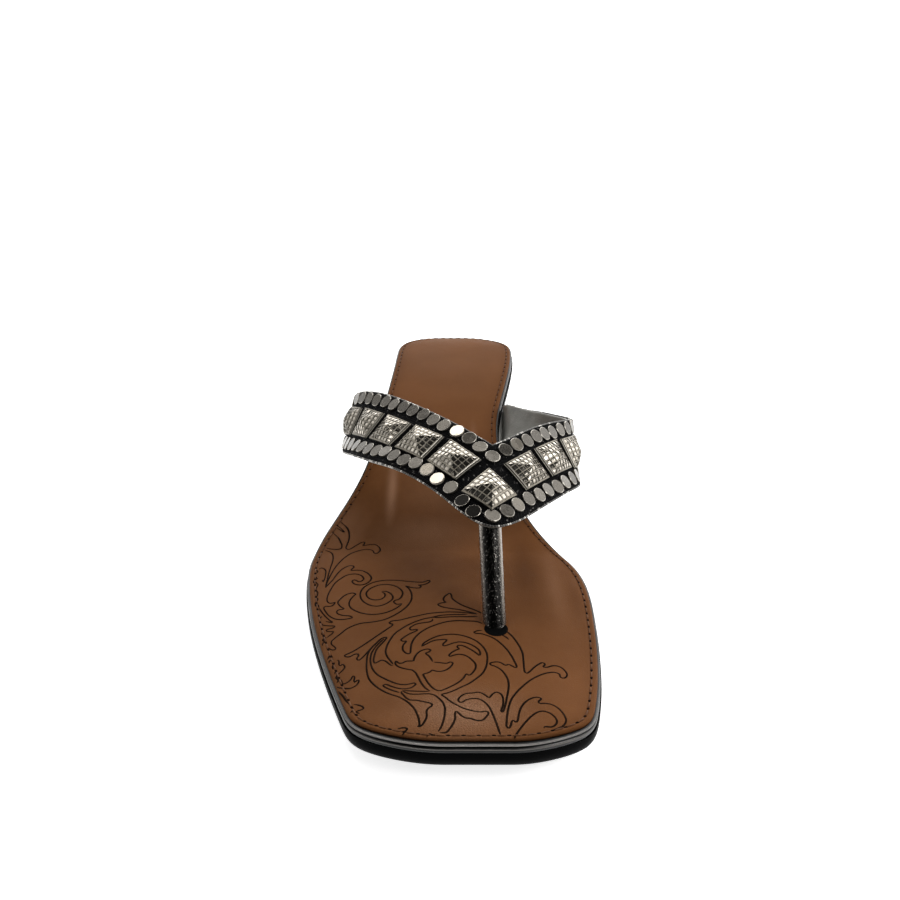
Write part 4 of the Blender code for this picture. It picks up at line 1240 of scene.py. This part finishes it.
def pyramidStud(name, t, across, turn, form, ends, look):
    # The lower of two roof heights, one per direction, is a pyramid; each cell then dips, swells and leans
    x, roofX, darkX, cellX, localX, inX = (item[:, None] for item in pyramidAxis(form["cells"][0], *ends))
    y, roofY, darkY, cellY, localY, inY = pyramidAxis(form["cells"][1], "plain", "plain")
    away = np.minimum(np.minimum(localX, 1 - localX), np.minimum(localY, 1 - localY))
    floor = smoothStep(pyramid["wire"], pyramid["wall"], away) * (inX & inY)
    swell = np.sin(np.pi * localX) * np.sin(np.pi * localY)
    leanX, leanY = rng.normal(0, pyramid["tilt"], (2, *form["cells"]))
    slant = leanX[cellX, cellY] * (localX - 0.5) + leanY[cellX, cellY] * (localY - 0.5)
    up = np.minimum(roofX, roofY) + floor * (pyramid["pillow"] * swell - pyramid["dip"] + slant)
    place, along, over, out = (item[0] for item in strapFrame([t], [across]))
    x, y = form["halves"][0] * x, form["halves"][1] * y
    planX = np.cos(turn) * x - np.sin(turn) * y
    planY = np.sin(turn) * x + np.cos(turn) * y
    rise = strap["half"] + pyramid["seat"] + up
    rise = rise + drape(t, across, np.dstack([planX, planY]), place, along, over, out)
    points = place + planX[..., None] * along + planY[..., None] * over + rise[..., None] * out
    # Painted shade: the foot's walls and the corners of each cell floor; painted highlight: the bar crests
    dark = np.where(roofX < roofY, darkX, darkY)
    paintedRecessShade = np.maximum(dark, pyramid["shadow"] * floor * (1 - smoothStep(*pyramid["shadowEnds"], away)))
    values = {"wire": 1 - floor, "paintedRecessShade": paintedRecessShade, "barHighlight": np.maximum(-dark, 0)}
    faces = studFaces(*up.shape)
    piece = makePiece(name + "_relief", points, faces, look, smooth=28, values=values)
    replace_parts(piece, name)


def pyramidStuds():
    look = studMetal()
    turn, form = pyramid["turn"], pyramid["middle"]
    pyramidStud("stud_centre", *pyramid["centre"], turn, form, ("plain", "plain"), look)
    for side, sign, ends in (("outer", -1, ("plain", "bars")), ("inner", 1, ("bars", "plain"))):
        for number in range(pyramid["eachSide"]):
            t = sign * (pyramid["first"] + number * pyramid["pitch"])
            pyramidStud(f"stud_{side}_{number + 1}", t, 0.0, 0.0, pyramid["side"], ends, look)


pyramidStuds()
print("pyramids ready")


# Toe post: a roll of leather, with a dark eyelet where it enters the foot bed, partly a black collar and
# partly the hole's painted shade

post = {
    "radius": 3.5, "foot": (13.7, 51.0), "deep": 2.7, "share": 0.24, "gap": 0.05, "reach": 5.0,
    "reachSteps": 9, "rings": 60, "sides": 48, "crinkle": 0.015,
    # slow wave: round, along, its own beat and start; quick wave: round, along, share
    "slowWave": (3, 9, 14, 2), "quickWave": (5, -23, 0.6),
    "metallic": 0.92, "wear": (120.0, 0.20, 0.32), "grain": (1300.0, 1.2, 0.000025, 1.0),
    # core and edge: a painted sheen, dark where the roll faces the view and bright towards its outline;
    # glint: painted glints on the crinkles
    "core": (0.014, 0.013, 0.012, 1), "edge": (0.27, 0.24, 0.21, 1), "sheen": (0.2, 0.6),
    "glint": (0.34, 0.32, 0.29, 1), "pitch": 0.0004, "flecks": 0.14,
    # eyelet: half width and how much longer it is; share of the half sizes and height over the leather
    "eyelet": (3.55, 0.2), "eyeletColour": (0.003, 0.003, 0.003, 1),
    "eyeletProfile": np.array([(1.0, -0.6), (1.0, 0.05), (0.93, 0.125), (0.8, 0.075), (0.0, 0.05)]),
}


def postLook():
    look, tree, shader, where = newLook("crinkled post leather", Metallic=post["metallic"])
    # Painted sheen by facing, and painted glints from the weave's flecks
    facing = addNode(tree, "ShaderNodeLayerWeight", {"Blend": 0.5}).outputs["Facing"]
    colour = blendColour(tree, span(tree, facing, *post["sheen"], 0.0, 1.0), post["core"], post["edge"])
    glint = useGroup(tree, weaveGroup, Vector=where, Pitch=post["pitch"], Flecks=post["flecks"])[1]
    feed(tree, shader, Base_Color=blendColour(tree, glint, colour, post["glint"]))
    addWear(tree, shader, where, *post["wear"])
    addGrain(tree, shader, where, *post["grain"])
    return look


def toePost():
    across = 2 * post["share"] - 1
    place, along, over, out = (item[0] for item in strapFrame([0.0], [across]))
    reach = np.linspace(-post["reach"], post["reach"], post["reachSteps"])
    near = strapPoints(*np.meshgrid(reach, across + reach / strap["halfWidth"], indexing="ij"))
    lowest = ((near - place) @ out).min()
    head = place + (lowest - strap["half"] - post["gap"]) * out
    foot = np.array([*post["foot"], liftAt(post["foot"][1]) + bed["base"] - post["deep"]])
    axis = unit(head - foot)
    side = unit(np.cross(axis, (0.0, 1.0, 0.0)))
    other = np.cross(axis, side)
    turn = roundTurn(post["sides"])[:, None]
    share = np.linspace(0, 1, post["rings"])[:, None, None]
    # Radius wanders by two slow waves round and along, so that the roll looks hand-made
    turns, run, beat, start = post["slowWave"]
    quickTurns, quickRun, part = post["quickWave"]
    wave = np.sin(turns * turn + run * share) * np.sin(beat * share + start)
    wave = wave + part * np.sin(quickTurns * turn + quickRun * share)
    spread = (post["radius"] + post["crinkle"] * wave) * (np.cos(turn) * side + np.sin(turn) * other)
    # Ends: the foot is cut level, the head along the strap's underside
    low, high = foot + spread[0], head + spread[-1]
    low = low - ((low[:, 2] - foot[2]) / axis[2])[:, None] * axis
    high = high - (((high - head) @ out) / (axis @ out))[:, None] * axis
    points = between(low, high, share) + spread - between(spread[0], spread[-1], share)
    faces = tubeFaces(post["rings"], post["sides"])
    look = postLook()
    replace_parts(makePiece("toe_post_roll", points, faces, look), "toe_post")


def postEyelet():
    # A low dark ring that reaches forward of the post: a black collar, painted dark also as the shade of the
    # hole round the post
    wide, longer = post["eyelet"]
    centre = np.array(post["foot"]) - (0.0, longer)
    turn, profile = roundTurn(post["sides"]), post["eyeletProfile"]
    circle = np.column_stack([np.cos(turn), np.sin(turn)]) * (wide, wide + longer)
    plan = centre + profile[:, :1, None] * circle
    points = np.dstack([plan, bedTop(plan) + profile[:, 1:]])
    faces = gridFaces(*plan.shape[:2], wrap=True).tolist() + [list(range(post["sides"]))]
    look = newLook("dark eyelet", Base_Color=post["eyeletColour"], Roughness=0.7, IOR=1.05)[0]
    makePiece("post_eyelet", points, faces, look)


toePost()
postEyelet()
print("post ready")


# Floor that curves up into a plain back wall

stage = {
    "front": -1.6, "bend": 1.3, "radius": 0.7, "top": 2.2, "half": 2.6, "steps": 24,
    "grey": (0.88, 0.88, 0.88, 1), "white": (1, 1, 1, 1), "glow": 0.8,
}


def studioFloor():
    turn = np.linspace(0, np.pi / 2, stage["steps"])
    y = stage["bend"] + stage["radius"] * np.append(np.sin(turn), 1.0)
    y = np.concatenate([[stage["front"]], y])[:, None]
    z = np.concatenate([[0.0], stage["radius"] * (1 - np.cos(turn)), [stage["top"]]])[:, None]
    points = np.stack(np.broadcast_arrays([-stage["half"], stage["half"]], y, z), axis=-1)
    mesh = bpy.data.meshes.new("studio floor")
    mesh.from_pydata(points.reshape(-1, 3).tolist(), [], gridFaces(len(y), 2).tolist())
    mesh.polygons.foreach_set("use_smooth", np.ones(len(mesh.polygons), bool))
    look = newLook(
        "studio floor", Base_Color=stage["grey"], Roughness=0.9, Specular_IOR_Level=0.1,
        Emission_Color=stage["white"], Emission_Strength=stage["glow"],
    )[0]
    mesh.materials.append(look)
    floor = bpy.data.objects.new("studio floor", mesh)
    bpy.context.scene.collection.objects.link(floor)


studioFloor()

# Soft boxes: name, place, aim, size, power
lights = {
    "boxes": [
        ("front box", (0.85, -0.45, 0.8), (0.0, 0.0, 0.03), (0.7, 0.4), 5.6),
        ("back box", (0.0, 1.0, 0.85), (0.0, 0.0, 0.03), (1.7, 0.9), 6.0),
        ("outer box", (-1.0, 0.1, 0.55), (0.0, 0.0, 0.03), (1.2, 0.8), 3.0),
        ("inner box", (0.9, 0.4, 0.45), (0.0, 0.0, 0.03), (1.2, 0.6), 6.0),
        ("wall box", (0.0, 0.8, 1.9), (0.0, 2.0, 0.4), (2.4, 0.5), 34.0),
    ],
    "air": 0.02,
}


def softBoxes():
    for name, place, aim, size, power in lights["boxes"]:
        lamp = bpy.data.lights.new(name, "AREA")
        lamp.shape = "RECTANGLE"
        lamp.size, lamp.size_y = size
        lamp.energy = power
        box = bpy.data.objects.new(name, lamp)
        box.location = place
        box.rotation_euler = (Vector(aim) - Vector(place)).to_track_quat("-Z", "Y").to_euler()
        bpy.context.scene.collection.objects.link(box)


def studioAir():
    # The air lights the shoe only faintly and shows as the same white as the floor
    world = bpy.data.worlds.new("studio air")
    world.use_nodes = True
    tree = world.node_tree
    air = tree.nodes["Background"]
    air.inputs[0].default_value = stage["white"]
    seen = addNode(tree, "ShaderNodeLightPath").outputs["Is Camera Ray"]
    feed(tree, air, Strength=calc(tree, "MAXIMUM", seen, lights["air"]))
    bpy.context.scene.world = world


def photoCamera():
    camera = bpy.data.cameras.new("photo view")
    camera.sensor_width = view["sensor"]
    camera.lens = view["focal"] / view["frame"] * view["sensor"]
    camera.clip_start = view["near"]
    eye = bpy.data.objects.new("photo view", camera)
    eye.location = (view["eye"] + shift) * mm
    eye.rotation_euler = (np.pi / 2 - viewPitch, 0.0, 0.0)
    bpy.context.scene.collection.objects.link(eye)
    bpy.context.scene.camera = eye
    bpy.context.scene.view_settings.view_transform = "Standard"


softBoxes()
studioAir()
photoCamera()
print("studio ready")
